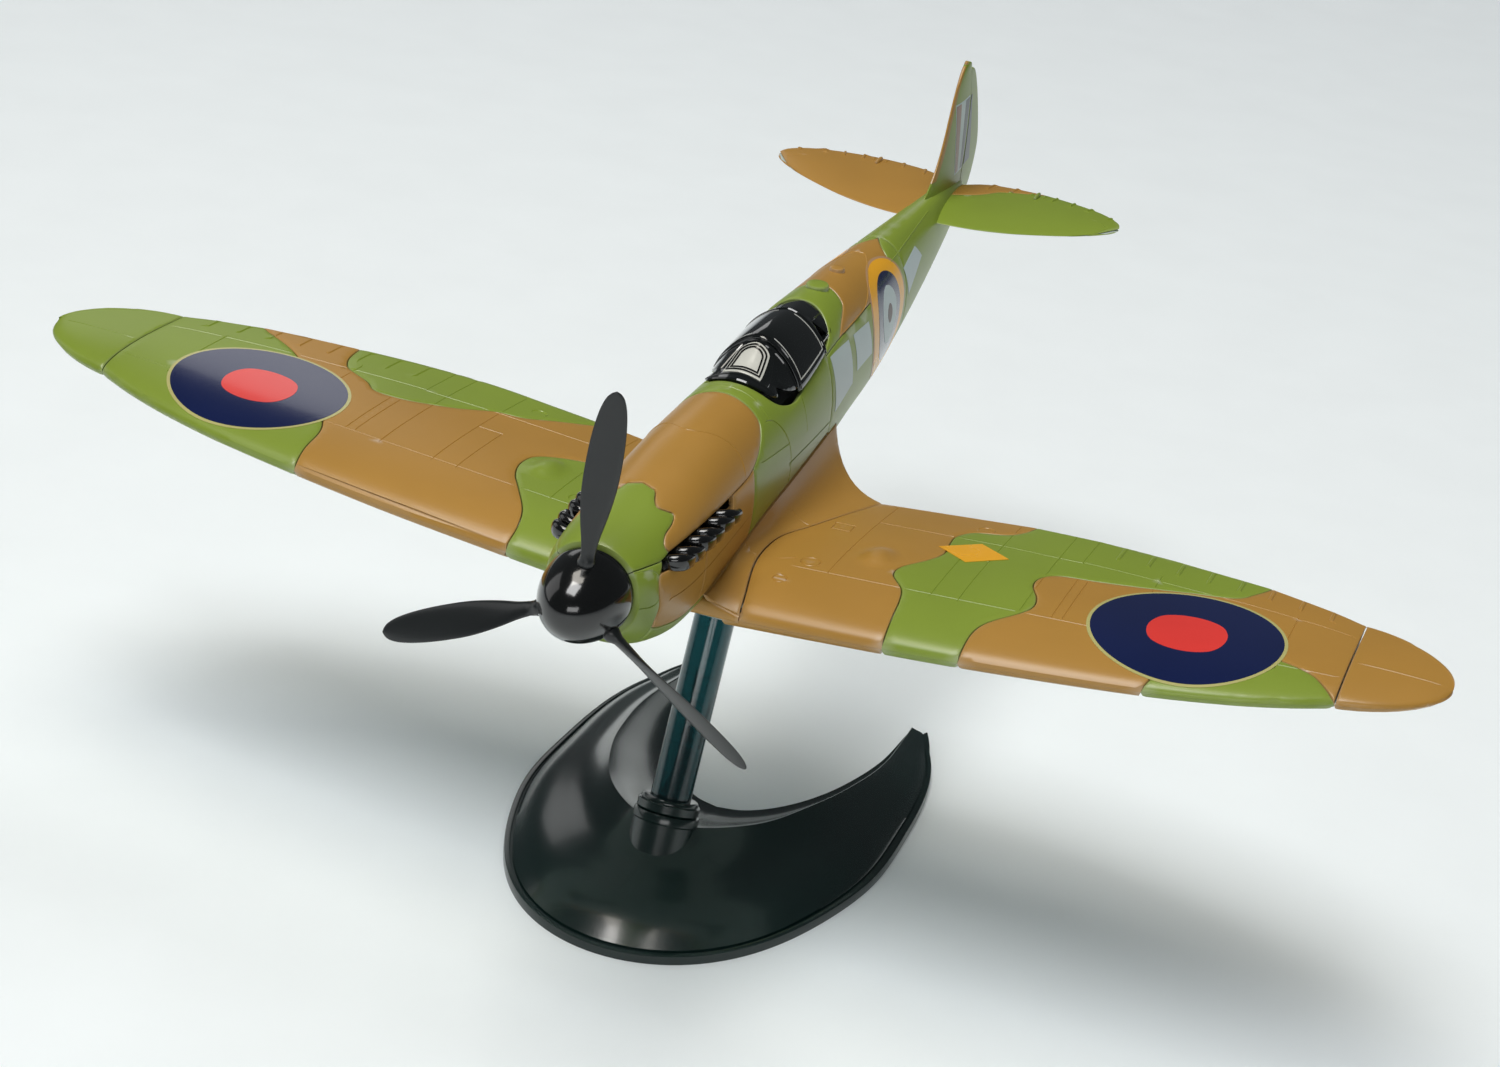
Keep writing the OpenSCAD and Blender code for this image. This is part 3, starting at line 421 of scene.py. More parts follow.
def turns_left(surface, outline):
    """Whether sideways to the positive is into the outline on this surface."""
    moved = shifted(surface, outline, 0.05, True)
    return abs(area_2d(moved * surface.scale)) < abs(area_2d(outline * surface.scale))


def loft(name, rings, material, slot, body="airframe", replaces=(), place=to_world, sharp=32):
    """Closed solid through rings of points, capped at both ends."""
    m, n = len(rings[0]), len(rings)
    points = np.vstack(rings)
    faces = [(i * m + j, i * m + (j + 1) % m, (i + 1) * m + (j + 1) % m, (i + 1) * m + j)
             for i in range(n - 1) for j in range(m)]
    faces += [tuple(range(m))[::-1], tuple((n - 1) * m + j for j in range(m))]
    finish_piece(name, place(points), oriented(points, faces), material, slot, body, replaces, sharp)


def shell(name, outer, inner, material, slot, body="airframe", replaces=(), place=to_world, sharp=32):
    """Closed solid between two matching grids of points."""
    outer, inner = np.asarray(outer, float), np.asarray(inner, float)
    rows, cols = outer.shape[:2]
    n = rows * cols
    points = np.vstack([outer.reshape(-1, 3), inner.reshape(-1, 3)])
    faces = []
    for i in range(rows - 1):
        for j in range(cols - 1):
            a, b, c, d = i * cols + j, i * cols + j + 1, (i + 1) * cols + j + 1, (i + 1) * cols + j
            faces += [(a, b, c, d), (n + d, n + c, n + b, n + a)]
    grid = np.arange(n).reshape(rows, cols)
    around = [*grid[0], *grid[1:, -1], *grid[-1, -2::-1], *grid[-2:0:-1, 0]]
    faces += [(b, a, n + a, n + b) for a, b in zip(around, around[1:] + around[:1])]
    finish_piece(name, place(points), oriented(points, faces), material, slot, body, replaces, sharp)


# ---- Materials ------------------------------------------------------------------------


def linear(rgb):
    """Linear light for a colour given in 0 to 255 steps of the screen."""
    parts = [c / 255 for c in rgb]
    return tuple(c / 12.92 if c <= 0.04045 else ((c + 0.055) / 1.055) ** 2.4 for c in parts) + (1.0,)


# How many spots of slow drift and of fine grain there are to a metre
DRIFT_SCALE, GRAIN_SCALE = 38, 2080


def plastic(name, colour, rough=0.4, spread=0.05, grain=0.03, coat=0.0, metal=0.0, worn=0.0,
             bump_size=0.00003, coat_rough=0.1):
    """Moulded plastic or paint: slow colour drift, fine grain, uneven polish and painted highlights that
    lighten the sharp edges.
    """
    mat = bpy.data.materials.new(name)
    mat.use_nodes = True
    nodes, links = mat.node_tree.nodes, mat.node_tree.links
    shader = nodes["Principled BSDF"]

    def put(kind, values, **sources):
        node = nodes.new("ShaderNode" + kind)
        for key, value in values.items():
            node.inputs[key].default_value = value
        for key, source in sources.items():
            links.new(source, node.inputs[key])
        return node

    for key, value in (("Metallic", metal), ("Coat Weight", coat), ("Coat Roughness", coat_rough)):
        shader.inputs[key].default_value = value
    spot = put("TexCoord", {}).outputs["Object"]
    drift = put("TexNoise", {"Scale": DRIFT_SCALE, "Detail": 4}, Vector=spot).outputs["Fac"]
    fine = put("TexNoise", {"Scale": GRAIN_SCALE, "Detail": 3}, Vector=spot).outputs["Fac"]
    base = linear(colour)
    ramp = put("ValToRGB", {}, Fac=drift)
    dark, light = ramp.color_ramp.elements
    dark.position, light.position = 0.3, 0.7
    dark.color = tuple(c * (1 - spread) for c in base[:3]) + (1,)
    light.color = tuple(min(1, c * (1 + spread)) for c in base[:3]) + (1,)
    colour_out = ramp.outputs["Color"]
    # Painted highlight: edges that pointiness finds sharp are mixed towards a paler colour, as if they caught
    # the light.
    if worn:
        form = put("NewGeometry", {})
        edge = put("MapRange", {"From Min": 0.53, "From Max": 0.62, "To Max": worn},
                   Value=form.outputs["Pointiness"])
        highlight_mix = nodes.new("ShaderNodeMix")
        highlight_mix.data_type = "RGBA"
        highlight_mix.inputs["B"].default_value = tuple(mix(c, 0.8, 0.45) for c in base[:3]) + (1,)
        links.new(edge.outputs["Result"], highlight_mix.inputs["Factor"])
        links.new(colour_out, highlight_mix.inputs["A"])
        colour_out = highlight_mix.outputs["Result"]
    links.new(colour_out, shader.inputs["Base Color"])
    polish = put("MapRange", {"To Min": max(0.02, rough - grain), "To Max": rough + grain}, Value=drift)
    links.new(polish.outputs["Result"], shader.inputs["Roughness"])
    bump = put("Bump", {"Strength": 0.35, "Distance": bump_size}, Height=fine)
    links.new(bump.outputs["Normal"], shader.inputs["Normal"])
    return mat


def smoked(name, colour, rough, through):
    """Tinted clear plastic."""
    mat = plastic(name, colour, rough, spread=0.08, grain=0.02, coat=0.3)
    shader = mat.node_tree.nodes["Principled BSDF"]
    shader.inputs["Transmission Weight"].default_value = through
    shader.inputs["IOR"].default_value = 1.49
    return mat


GREEN = plastic("leaf_green_plastic", (124, 144, 48), 0.36, coat=0.12, coat_rough=0.25, worn=0.5)
BROWN = plastic("tan_plastic", (166, 124, 54), 0.36, coat=0.12, coat_rough=0.25, worn=0.5)
SKY = plastic("pale_sky_plastic", (172, 184, 178), 0.42, coat=0.05, worn=0.3)
BLACK = plastic("gloss_black_plastic", (10, 11, 11), 0.14, spread=0.2, grain=0.03, coat=0.6, coat_rough=0.05)
BLADE = plastic("satin_black_plastic", (22, 25, 26), 0.34, spread=0.15, grain=0.04, coat=0.15)
GLASS = plastic("canopy_black", (12, 15, 15), 0.09, spread=0.2, grain=0.02, coat=0.8, coat_rough=0.03)
# Pale grey of the thin canopy films, which are painted highlights along the frame edges
CANOPY_GLINT_FILM = plastic("canopy_line", (190, 192, 188), 0.35, spread=0.05)
PANE = plastic("pane_silver", (196, 196, 188), 0.3, spread=0.04, coat=0.4)
STAND = plastic("stand_plastic", (14, 32, 30), 0.23, spread=0.12, grain=0.04, coat=0.35, coat_rough=0.12)
STEM = smoked("stem_smoked_teal", (20, 72, 77), 0.12, 0.75)
NAVY = plastic("navy_film", (12, 25, 68), 0.16, spread=0.1, grain=0.05, coat=0.4, coat_rough=0.08)
RED = plastic("red_film", (218, 58, 52), 0.22, spread=0.06, grain=0.05, coat=0.3, coat_rough=0.08)
AMBER = plastic("amber_film", (232, 168, 34), 0.28, spread=0.06, coat=0.2)
FILM = plastic("film_edge", (176, 172, 110), 0.25, spread=0.05, coat=0.3)
PALE = plastic("pale_film", (176, 192, 192), 0.35, spread=0.08, coat=0.1)
SLATE = plastic("slate_film", (78, 88, 92), 0.35, spread=0.08, coat=0.1)
TAN_FILM = plastic("tan_film", (176, 140, 104), 0.3, spread=0.05, coat=0.2)
ROSE_FILM = plastic("rose_film", (142, 108, 92), 0.35, spread=0.06, coat=0.1)
DOT = plastic("grey_film", (104, 92, 88), 0.4, spread=0.08)
STEEL = plastic("bright_metal", (190, 190, 188), 0.25, spread=0.04, metal=1.0)
INNER = plastic("inner_plastic", (88, 92, 94), 0.5, spread=0.06)
GREY = plastic("leg_grey", (128, 134, 136), 0.4, spread=0.06, coat=0.05, worn=0.3)
RUBBER = plastic("tyre_black", (26, 26, 27), 0.7, spread=0.12, grain=0.06)

# ---- Fuselage surface -----------------------------------------------------------------

WALL = 1.0
# y, half width, top, bottom, height of the widest line, squareness of the lower half
SECTIONS = [
    [0, 7.7, 7.7, -7.7, 0, 0.95], [4, 9.2, 8.7, -11, -0.5, 0.9], [10, 10.1, 9.6, -13.8, -1, 0.75],
    [20, 10.7, 10.9, -15.8, -1.4, 0.64], [38, 10.9, 12.9, -15.6, -1.8, 0.7],
    [55, 11, 13, -15.3, -2, 0.9], [72, 10.8, 13, -15.8, -1.5, 0.95],
    [90, 10.2, 16.6, -15.6, -1, 0.95], [105, 9.4, 16.2, -14.2, -0.4, 0.95],
    [120, 8.6, 15.4, -13.2, 0.2, 0.95], [140, 7, 14, -10.2, 1.4, 0.95],
    [160, 5.1, 12.8, -6.2, 3, 0.95], [178, 3.2, 11.8, -1.8, 5, 0.95],
    [192, 1.6, 10.4, 3, 6.6, 0.95], ]
UPPER_SQUARE = 0.95
# About how many millimetres a millimetre along and a degree round the skin are worth
SKIN_SCALE = (1, 0.19)


def skin_at(y, angle, wall=0.0):
    """Points of the fuselage skin at y and at an angle in degrees from the top, port positive."""
    s = smooth(SECTIONS, y)
    a = np.radians(angle)
    up = np.cos(a) > 0
    h = np.where(up, s[:, 2] - s[:, 4], s[:, 4] - s[:, 3]) - wall
    e = np.where(up, UPPER_SQUARE, s[:, 5])
    return np.column_stack([(s[:, 1] - wall) * signed_pow(np.sin(a), e), y,
                            s[:, 4] + h * signed_pow(np.cos(a), e)])


FUSELAGE = Surface(lambda uv: skin_at(uv[:, 0], uv[:, 1]), lambda uv: skin_at(uv[:, 0], uv[:, 1], WALL),
                   SKIN_SCALE)

# ---- Wing surface ---------------------------------------------------------------------

TIP_X, TIP_Y, TIP_SEAM = 131.0, 51.0, 114.0
ROOT_FRONT, ROOT_REAR = 27.4, 85.9
FRONT_EDGE = [[10, 27.3], [30, 27.3], [55, 27.9], [84, 30.5], [98, 33.2], [107, 36], [114, 39]]
REAR_EDGE = [[10, 85.8], [27, 85.9], [44, 85.6], [56, 85.2], [69, 83.2], [82, 80], [95, 76.4], [108, 71],
             [114, 67.5]]
EDGE_HALF = 0.35
# The chord runs as a coordinate that is close to the length over the round leading edge
CHORD, NOSE_ROUND = 55.0, 9.0


def tip_part(x):
    return np.clip((x - TIP_SEAM) / (TIP_X - TIP_SEAM), 0, 1)


def edge_at(table, x, creep):
    """y of an edge of the wing, rounded off into the tip."""
    x = np.asarray(x, float)
    s = tip_part(x)
    e = smooth(table, x)[:, 1] + creep * np.maximum(x - TIP_SEAM, 0)
    return np.where(s > 0, TIP_Y + (e - TIP_Y) * np.sqrt(1 - s**2), e)


def lead(x):
    return edge_at(FRONT_EDGE, x, 0.1)


def trail(x):
    return edge_at(REAR_EDGE, x, -0.2)


def wing_mid(x, t):
    """Height of the chord line, which rises outwards, more at the rear than at the front."""
    return mix(-15.3 + x * math.tan(math.radians(4.49)), -18.6 + x * math.tan(math.radians(6.33)), t)


def wing_half(x):
    return (4.65 - 0.026 * x) * np.sqrt(1 - tip_part(x) ** 2)


def aerofoil(t):
    """Share of the greatest half thickness at a share of the chord."""
    t = np.clip(t, 0, 1)
    return 10 * (0.2969 * np.sqrt(t) - 0.126 * t - 0.3516 * t**2 + 0.2843 * t**3 - 0.1036 * t**4)


def blunt(x, t):
    """Half thickness of the edges, rounded off at both ends of the chord."""
    length = np.maximum(trail(x) - lead(x), 0.1)
    near = np.minimum(np.clip(t, 0, 1), 1 - np.clip(t, 0, 1)) * length
    round_off = np.sqrt(np.clip(1 - (1 - np.minimum(near / 0.5, 1)) ** 2, 0, 1))
    return EDGE_HALF * np.sqrt(1 - tip_part(x) ** 2) * round_off + 0.02


def wing_top(x, t):
    return wing_mid(x, t) + wing_half(x) * aerofoil(t) + blunt(x, t)


def wing_bottom(x, t):
    return wing_mid(x, t) - 0.8 * wing_half(x) * aerofoil(t) - blunt(x, t)


def chord_share(c):
    """Share of the chord at the running coordinate c."""
    c = np.clip(c, 0, CHORD + NOSE_ROUND)
    root = (-NOSE_ROUND + np.sqrt(NOSE_ROUND**2 + 4 * CHORD * c)) / (2 * CHORD)
    return root**2


def chord_run(t):
    """Running coordinate of a share of the chord."""
    t = np.clip(t, 0, 1)
    return CHORD * t + NOSE_ROUND * np.sqrt(t)


def upper_at(uv, wall=0.0, x_of=None):
    """Points of the wing's upper face at a distance out and a running coordinate of the chord."""
    x = x_of(uv[:, 0]) if x_of else uv[:, 0]
    t = chord_share(uv[:, 1])
    z = wing_top(x, t)
    if wall:
        z = np.minimum(np.maximum(z - wall, wing_mid(x, t) + 0.06), z - 0.01)
    return np.column_stack([x, mix(lead(x), trail(x), t), z])


def lower_at(uv, wall=0.0, x_of=None):
    """Points of the wing's lower face, as for the upper one."""
    x = x_of(uv[:, 0]) if x_of else uv[:, 0]
    t = chord_share(uv[:, 1])
    z = wing_bottom(x, t)
    if wall:
        z = np.maximum(np.minimum(z + wall, wing_mid(x, t) - 0.06), z + 0.01)
    return np.column_stack([x, mix(lead(x), trail(x), t), z])


def tip_x_of(u):
    """Distance out along the tip, crowding towards its end, from an even coordinate."""
    s = np.clip((u - TIP_SEAM) / (TIP_X - TIP_SEAM), 0, 1)
    return TIP_SEAM + (TIP_X - TIP_SEAM) * np.sin(s * math.pi / 2)


UPPER = Surface(upper_at, lambda uv: upper_at(uv, WALL), (1, 1))
LOWER = Surface(lower_at, lambda uv: lower_at(uv, WALL), (1, 1))
UPPER_TIP = Surface(lambda uv: upper_at(uv, 0, tip_x_of), lambda uv: upper_at(uv, WALL, tip_x_of), (1, 1))
LOWER_TIP = Surface(lambda uv: lower_at(uv, 0, tip_x_of), lambda uv: lower_at(uv, WALL, tip_x_of), (1, 1))


def shares(points):
    """Wing positions given as distance out and share of the chord, as surface coordinates."""
    p = np.asarray(points, float)
    return np.column_stack([p[:, 0], chord_run(p[:, 1])])


def spots(points):
    """Wing positions given as x and y in millimetres, as surface coordinates."""
    p = np.asarray(points, float)
    a, b = lead(p[:, 0]), trail(p[:, 0])
    return np.column_stack([p[:, 0], chord_run((p[:, 1] - a) / (b - a))])


def at_wing_edge(outline):
    """Outline points on the leading or the trailing edge, which stay where they are."""
    end = CHORD + NOSE_ROUND
    return (outline[:, 1] < 1e-6) | (outline[:, 1] > end - 1e-6)


# ---- Camera, light and floor ----------------------------------------------------------

CAMERA_AT = (0.14842, -0.43215, 0.28356)
CAMERA_RIGHT = (0.92807, 0.35296, 0.11874)
CAMERA_DOWN = (0.24970, -0.35327, -0.90157)
CAMERA_AHEAD = (-0.27627, 0.86638, -0.41600)
LENS = 69.47


def add_camera():
    """The view from ahead, above and to port."""
    data = bpy.data.cameras.new("camera")
    data.lens, data.sensor_width = LENS, 36
    data.clip_start, data.clip_end = 0.01, 20
    camera = bpy.data.objects.new("camera", data)
    bpy.context.scene.collection.objects.link(camera)
    right, up, back = Vector(CAMERA_RIGHT), -Vector(CAMERA_DOWN), -Vector(CAMERA_AHEAD)
    turn = Matrix((right, up, back)).transposed().to_4x4()
    camera.matrix_world = Matrix.Translation(CAMERA_AT) @ turn
    bpy.context.scene.camera = camera


def add_light(name, at, towards, size, power, colour=(1, 1, 1)):
    data = bpy.data.lights.new(name, "AREA")
    data.shape = "RECTANGLE"
    data.size, data.size_y = size
    data.energy, data.color = power, colour
    light = bpy.data.objects.new(name, data)
    bpy.context.scene.collection.objects.link(light)
    light.location = at
    light.rotation_euler = (Vector(towards) - Vector(at)).to_track_quat("-Z", "Y").to_euler()
    return light


def add_studio():
    """Soft lights above, behind, to the left and in front, and a pale floor."""
    world = bpy.data.worlds.new("studio")
    bpy.context.scene.world = world
    world.use_nodes = True
    background = world.node_tree.nodes["Background"]
    background.inputs["Color"].default_value = linear((226, 234, 240))
    background.inputs["Strength"].default_value = 0.09
    bpy.context.scene.view_settings.view_transform = "Standard"
    add_light("overhead", (-0.28, -1.35, 3.2), (0, 0.05, 0.05), (1.7, 1.5), 66)
    add_light("top_panel", (-0.12, -0.05, 0.95), (0, 0, 0), (0.42, 0.38), 3.0, (1, 0.95, 0.86))
    add_light("rear_panel", (-0.9, 1.3, 0.75), (0, 0.1, 0.05), (0.6, 0.4), 0.7)
    add_light("left_window", (-1.6, -0.1, 0.75), (0, 0.05, 0.08), (1.0, 1.2), 3)
    add_light("front_strip", (0.25, -0.8, 0.32), (0, 0, 0.06), (0.5, 0.2), 1.0)
    back_wash = add_light("back_wash", (0.25, 1.15, 1.5), (0.25, 1.15, 0), (1.2, 0.8), 6)
    back_wash.visible_glossy = False
    floor_mesh = bpy.data.meshes.new("floor")
    reach = 6.0
    floor_mesh.from_pydata([(-reach, -reach, 0), (reach, -reach, 0), (reach, reach, 0), (-reach, reach, 0)],
                           [], [(0, 1, 2, 3)])
    floor = bpy.data.objects.new("floor", floor_mesh)
    bpy.context.scene.collection.objects.link(floor)
    paper = plastic("floor_paper", (240, 246, 248), 0.75, spread=0.01, grain=0.02, bump_size=0.00002)
    floor_mesh.materials.append(paper)


add_camera()
add_studio()

# ---- Wings ----------------------------------------------------------------------------
# Edges are [distance from the centre plane, share of the chord]

ROOT_SEAM = [[27.3, 16.4], [31, 15.8], [40.8, 13.6], [47.8, 12.9], [55.6, 13.3], [63.2, 15.9], [71.8, 18.4],
             [80, 20.8], [85.9, 22.4]]
BAND_IN = [[41.5, 0], [40.8, 0.12], [40.2, 0.21], [39.1, 0.28], [36.2, 0.36], [36.4, 0.43], [39.4, 0.52],
           [41, 0.6], [40.4, 0.7], [40.3, 0.77], [42.4, 0.84], [48, 0.875], [50.6, 0.93], [52, 1]]
BAND_OUT = [[54.4, 0], [54.6, 0.11], [56, 0.18], [59.8, 0.27], [61.3, 0.33], [60.9, 0.4], [58.9, 0.49],
            [59.3, 0.56], [62, 0.605], [68.9, 0.63], [76, 0.67], [84, 0.73], [91.5, 0.79], [94.4, 0.89],
            [96.6, 1]]
OUTER_FRONT = [[84.4, 0], [86.5, 0.1], [90, 0.19], [96, 0.27], [102, 0.305], [106, 0.27], [109.4, 0.2],
               [111.8, 0.1], [113.4, 0.02], [TIP_SEAM, 0]]
PATCH_OUT = [[26.8, 0], [26.8, 0.07], [28.4, 0.165], [32.4, 0.28], [35, 0.355], [36.3, 0.44], [35.6, 0.52],
             [32, 0.575], [26.8, 0.615], [21, 0.63], [16, 0.635]]
FLAP_FRONT = [[33.2, 1], [34.4, 0.955], [40.5, 0.865], [45.2, 0.795], [50.3, 0.765], [55.7, 0.69],
              [60.4, 0.65], [64.6, 0.625], [69, 0.62], [71.4, 0.635], [73.7, 0.685], [77, 0.73],
              [79.8, 0.775], [81.8, 0.87], [82.7, 1]]
MIDDLE_OUT = [[68.8, 0], [69.5, 0.09], [69.8, 0.19], [71, 0.26], [73.4, 0.33], [79.6, 0.5], [89.5, 0.76],
              [97.4, 0.92], [100.8, 1]]


def seam_x(y):
    return smooth(ROOT_SEAM, y)[:, 1]


def root_edge(a=0.0, b=1.0, n=50):
    """Seam of the fuselage fillet between two shares of the chord."""
    t = np.linspace(a, b, n)
    return np.column_stack([seam_x(mix(ROOT_FRONT, ROOT_REAR, t)), t])


def along_share(share, a, b, n=60):
    """Line at one share of the chord, between two distances out."""
    return np.column_stack([np.linspace(a, b, n), np.full(n, float(share))])


def along_edge(share, a, b):
    """The same line with a point about every 1.5 mm."""
    return along_share(share, a, b, max(2, int(abs(b - a) / 1.5)))


def across_tip_seam(a=0.0, b=1.0, n=40, x=TIP_SEAM):
    t = (1 - np.cos(np.linspace(0, math.pi, n))) / 2
    return np.column_stack([np.full(n, x), mix(a, b, t)])


def closed_line(*stretches):
    """One outline through stretches that each end where the next one starts."""
    points = [stretches[0]]
    for stretch in stretches[1:]:
        points.append(stretch[1:])
    joined = np.vstack(points)
    return joined[:-1] if np.linalg.norm(joined[0] - joined[-1]) < 1e-6 else joined


def wing_line(*points, step=1.2):
    """Straight line on the wing through x and y positions."""
    return spots(polyline(*points, step=step))


HINGE = 0.76
AILERON_IN, AILERON_OUT = 64.0, TIP_SEAM
SPAR_Y = 43.4
DISC_AT, DISC_R = (87.2, 49.0), 16.4


def hinge_line():
    """Hinge of the aileron, at one share of the chord."""
    x = np.linspace(AILERON_IN, AILERON_OUT, 42)
    return np.column_stack([x, mix(lead(x), trail(x), HINGE)])


def wing_grooves():
    """Panel lines of one wing, before each panel keeps its own part."""
    spar = wing_line((21, SPAR_Y), (112.6, SPAR_Y + 1.4))
    lines = [spar]
    rear = 83.9
    for x, y0, y1 in ((26, SPAR_Y, 85), (49.2, SPAR_Y, 84.6), (59.7, SPAR_Y, 84), (65.2, 45, 62),
                      (67, 45, 62), (44.4, SPAR_Y, 62.6), (78, SPAR_Y, 71.5), (103, SPAR_Y, 64.8)):
        lines.append(wing_line((x, y0), (x, min(y1, rear))))
    lines.append(spots(hinge_line()))
    lines.append(wing_line((44.4, 62.6), (49.2, 62.4)))
    lines.append(wing_line((AILERON_IN, 70.4), (AILERON_IN, 83.4)))
    lines.append(wing_line((26, 72.5), (49.2, 71.6), (59.7, 70.6), (64, 70.4)))
    grooves = [Groove(line, 0.13, 0.12) for line in lines]
    box = wing_line((19.5, 64.5), (23, 64.2), (22.9, 67.8), (19.3, 68.1), (19.5, 64.5), step=0.7)
    grooves.append(Groove(box[:-1], 0.16, 0.15, True))
    for centre, r in (((21.9, 46.4), 1.7), ((19.3, 38), 1.2)):
        grooves.append(Groove(spots(ring(centre, (r, r), 28)), 0.16, 0.15, True))
    grooves.append(Groove(wing_line((16.6, 45.2), (18.9, 46.7), step=0.6), 0.2, 0.18))
    half_turn = [(44.2 + 1.5 * math.cos(a), 78.5 + 1.5 * math.sin(a)) for a in np.linspace(-0.3, 3.4, 14)]
    grooves.append(Groove(spots(half_turn), 0.14, -0.14))
    return grooves


def rib_tapes():
    """Low tapes over the ribs of the control surface, behind its hinge."""
    tapes = []
    for x in np.arange(AILERON_IN + 5, TIP_SEAM - 1, 5.6):
        a, b = lead(np.array([x]))[0], trail(np.array([x]))[0]
        tapes.append(Groove(wing_line((x, mix(a, b, 0.865)), (x, mix(a, b, 0.965)), step=0.8), 0.42, -0.2,
                            flat=0.45))
    return tapes


def near(groove, low, high):
    """Whether a line comes between two distances out, or close to them."""
    return groove.line[:, 0].max() > low - 0.6 and groove.line[:, 0].min() < high + 0.6


BULGE_AT, BULGE_R, BULGE_H = (31.5, 53.6), (2.9, 4.6), 1.25


def bulge(points):
    """Teardrop blister over the wheel."""
    x = (np.abs(points[:, 0]) - BULGE_AT[0]) / BULGE_R[0]
    y = (points[:, 1] - BULGE_AT[1]) / BULGE_R[1]
    d = np.sqrt(x**2 + (y * np.where(y > 0, 0.8, 1.15)) ** 2)
    return BULGE_H * np.clip(1 - d**2, 0, 1) ** 0.95


def wing_panel(name, paint, *stretches, tapes=True, bump=None):
    """Upper skin panel whose outline runs through the given stretches."""
    outline = shares(closed_line(*stretches))
    low, high = outline[:, 0].min(), outline[:, 0].max()
    chosen = [g for g in wing_grooves() + (rib_tapes() if tapes else []) if near(g, low, high)]
    surface = UPPER.on(-1 if name.startswith("starboard") else 1)
    panel(name + "_skin", surface, outline, paint, "wing_green" if paint == GREEN else "wing_brown",
          replaces=[name], grooves=chosen, pin=at_wing_edge, bump=bump)


def tip_outline():
    """Outline of the wing tip, from its seam round the leading edge, the end and the trailing edge."""
    far = TIP_X - 0.05
    end = np.column_stack([np.full(9, far), np.linspace(0, 1, 9)])
    return shares(closed_line(along_share(0, TIP_SEAM, far, 40), end, along_share(1, far, TIP_SEAM, 40),
                              across_tip_seam(1, 0)))


def add_wings():
    """Upper skins of both wings, panel by panel, and their tips."""
    band_in, band_out, outer_front = curve(BAND_IN), curve(BAND_OUT), curve(OUTER_FRONT)
    wing_panel("port_wing_inner", BROWN, root_edge(), along_edge(1, 22.4, 52), band_in[::-1],
               along_edge(0, 41.5, 16.4), bump=bulge)
    wing_panel("port_wing_band", GREEN, band_in, along_edge(1, 52, 96.6), band_out[::-1],
               along_edge(0, 54.4, 41.5))
    wing_panel("port_wing_outer", BROWN, band_out, along_edge(1, 96.6, TIP_SEAM), across_tip_seam(1, 0),
               outer_front[::-1], along_edge(0, 84.4, 54.4))
    wing_panel("port_wing_edge", GREEN, outer_front, along_edge(0, TIP_SEAM, 84.4), tapes=False)
    patch, flap, middle = curve(PATCH_OUT), curve(FLAP_FRONT), curve(MIDDLE_OUT)
    patch_end = patch[-1]
    patch_root = root_edge(patch_end[1], 0, 34)
    patch[-1] = patch_root[0]
    wing_panel("starboard_wing_inner", GREEN, patch, patch_root, along_edge(0, 16.4, 26.8), bump=bulge)
    wing_panel("starboard_wing_middle", BROWN, patch[::-1], along_edge(0, 26.8, 68.8), middle,
               along_edge(1, 100.8, 82.7), flap[::-1], along_edge(1, 33.2, 22.4),
               root_edge(1, patch_end[1], 22))
    wing_panel("starboard_wing_flap", GREEN, flap, along_edge(1, 82.7, 33.2))
    wing_panel("starboard_wing_outer", GREEN, middle, along_edge(1, 100.8, TIP_SEAM), across_tip_seam(1, 0),
               along_edge(0, TIP_SEAM, 68.8))
    line = Groove(np.column_stack([np.linspace(TIP_SEAM, 125, 14), np.full(14, chord_run(0.42))]), 0.13, 0.12)
    for side, way in SIDES:
        paint, slot = (BROWN, "wing_brown") if way == 1 else (GREEN, "wing_green")
        panel(side + "_wing_tip_skin", UPPER_TIP.on(way), tip_outline(), paint, slot,
              replaces=[side + "_wing_tip"], grooves=[line], pin=at_wing_edge, step=1.0)


def add_discs():
    """Navy discs with a rounded red centre on both wings, and the amber diamond to port."""
    for side, way in SIDES:
        for part, r, power, lift, paint, turn in (
                ("edge", DISC_R + 0.25, 2, 0.06, FILM, 0), ("navy", DISC_R - 0.35, 2, 0.09, NAVY, 0),
                ("centre", 7.0, 1.75, 0.12, RED, math.pi / 4)):
            outline = spots(ring(DISC_AT, (r, r), 120, power, turn))
            film(f"{side}_disc_{part}", UPPER.on(way), lift, 0.05, outline, paint, 1.6)
    diamond = polyline((52, 65.2), (45.6, 70.5), (39.2, 65.2), (45.6, 59.9), (52, 65.2), step=0.8)[:-1]
    film("port_diamond", UPPER, 0.08, 0.06, spots(diamond), AMBER, 1.2)


add_wings()
add_discs()

# ---- Fuselage panels ------------------------------------------------------------------
# Edges are [y, angle from the top]; a half edge runs from the top centre round to port

WAVY = [[19.6, 0], [19, 8], [18.7, 13], [16.6, 18], [15.4, 24], [16.2, 32], [17, 39], [15.2, 43.5],
        [12.4, 45.5], [10.8, 50], [10.4, 55], [10.9, 60.5]]
NOSE_SIDE = [[1, 54], [3.6, 57], [7, 61], [8.2, 62], [10.9, 60.5]]
SHOULDER = [[10.9, 60.5], [16.9, 62.5], [24.6, 65], [33, 67], [42, 67], [46, 64.2]]
CHIN_REAR = [[8.2, 62], [7.6, 68], [6.2, 76], [6.1, 88], [6.8, 99], [6.6, 112], [7, 122], [7.8, 150],
             [8.4, 180]]
SLOT_LOW = [[6.9, 72], [12, 75.5], [20, 78.5], [30, 80], [34.6, 78.5], [35.9, 73.5], [36, 67.1]]
COWL_REAR = [[55.1, 0], [55, 8], [54.8, 20], [54.6, 32], [54, 42], [51.6, 52], [49, 59], [46, 64.2]]
SIDE_SEAM = [[46, 64.2], [45.4, 80], [45.2, 95], [45.2, 110]]
ROOT_TOP = [[7, 122], [20, 121], [30, 118], [45.2, 110], [62, 106], [78, 104], [86, 103.6], [88, 104]]
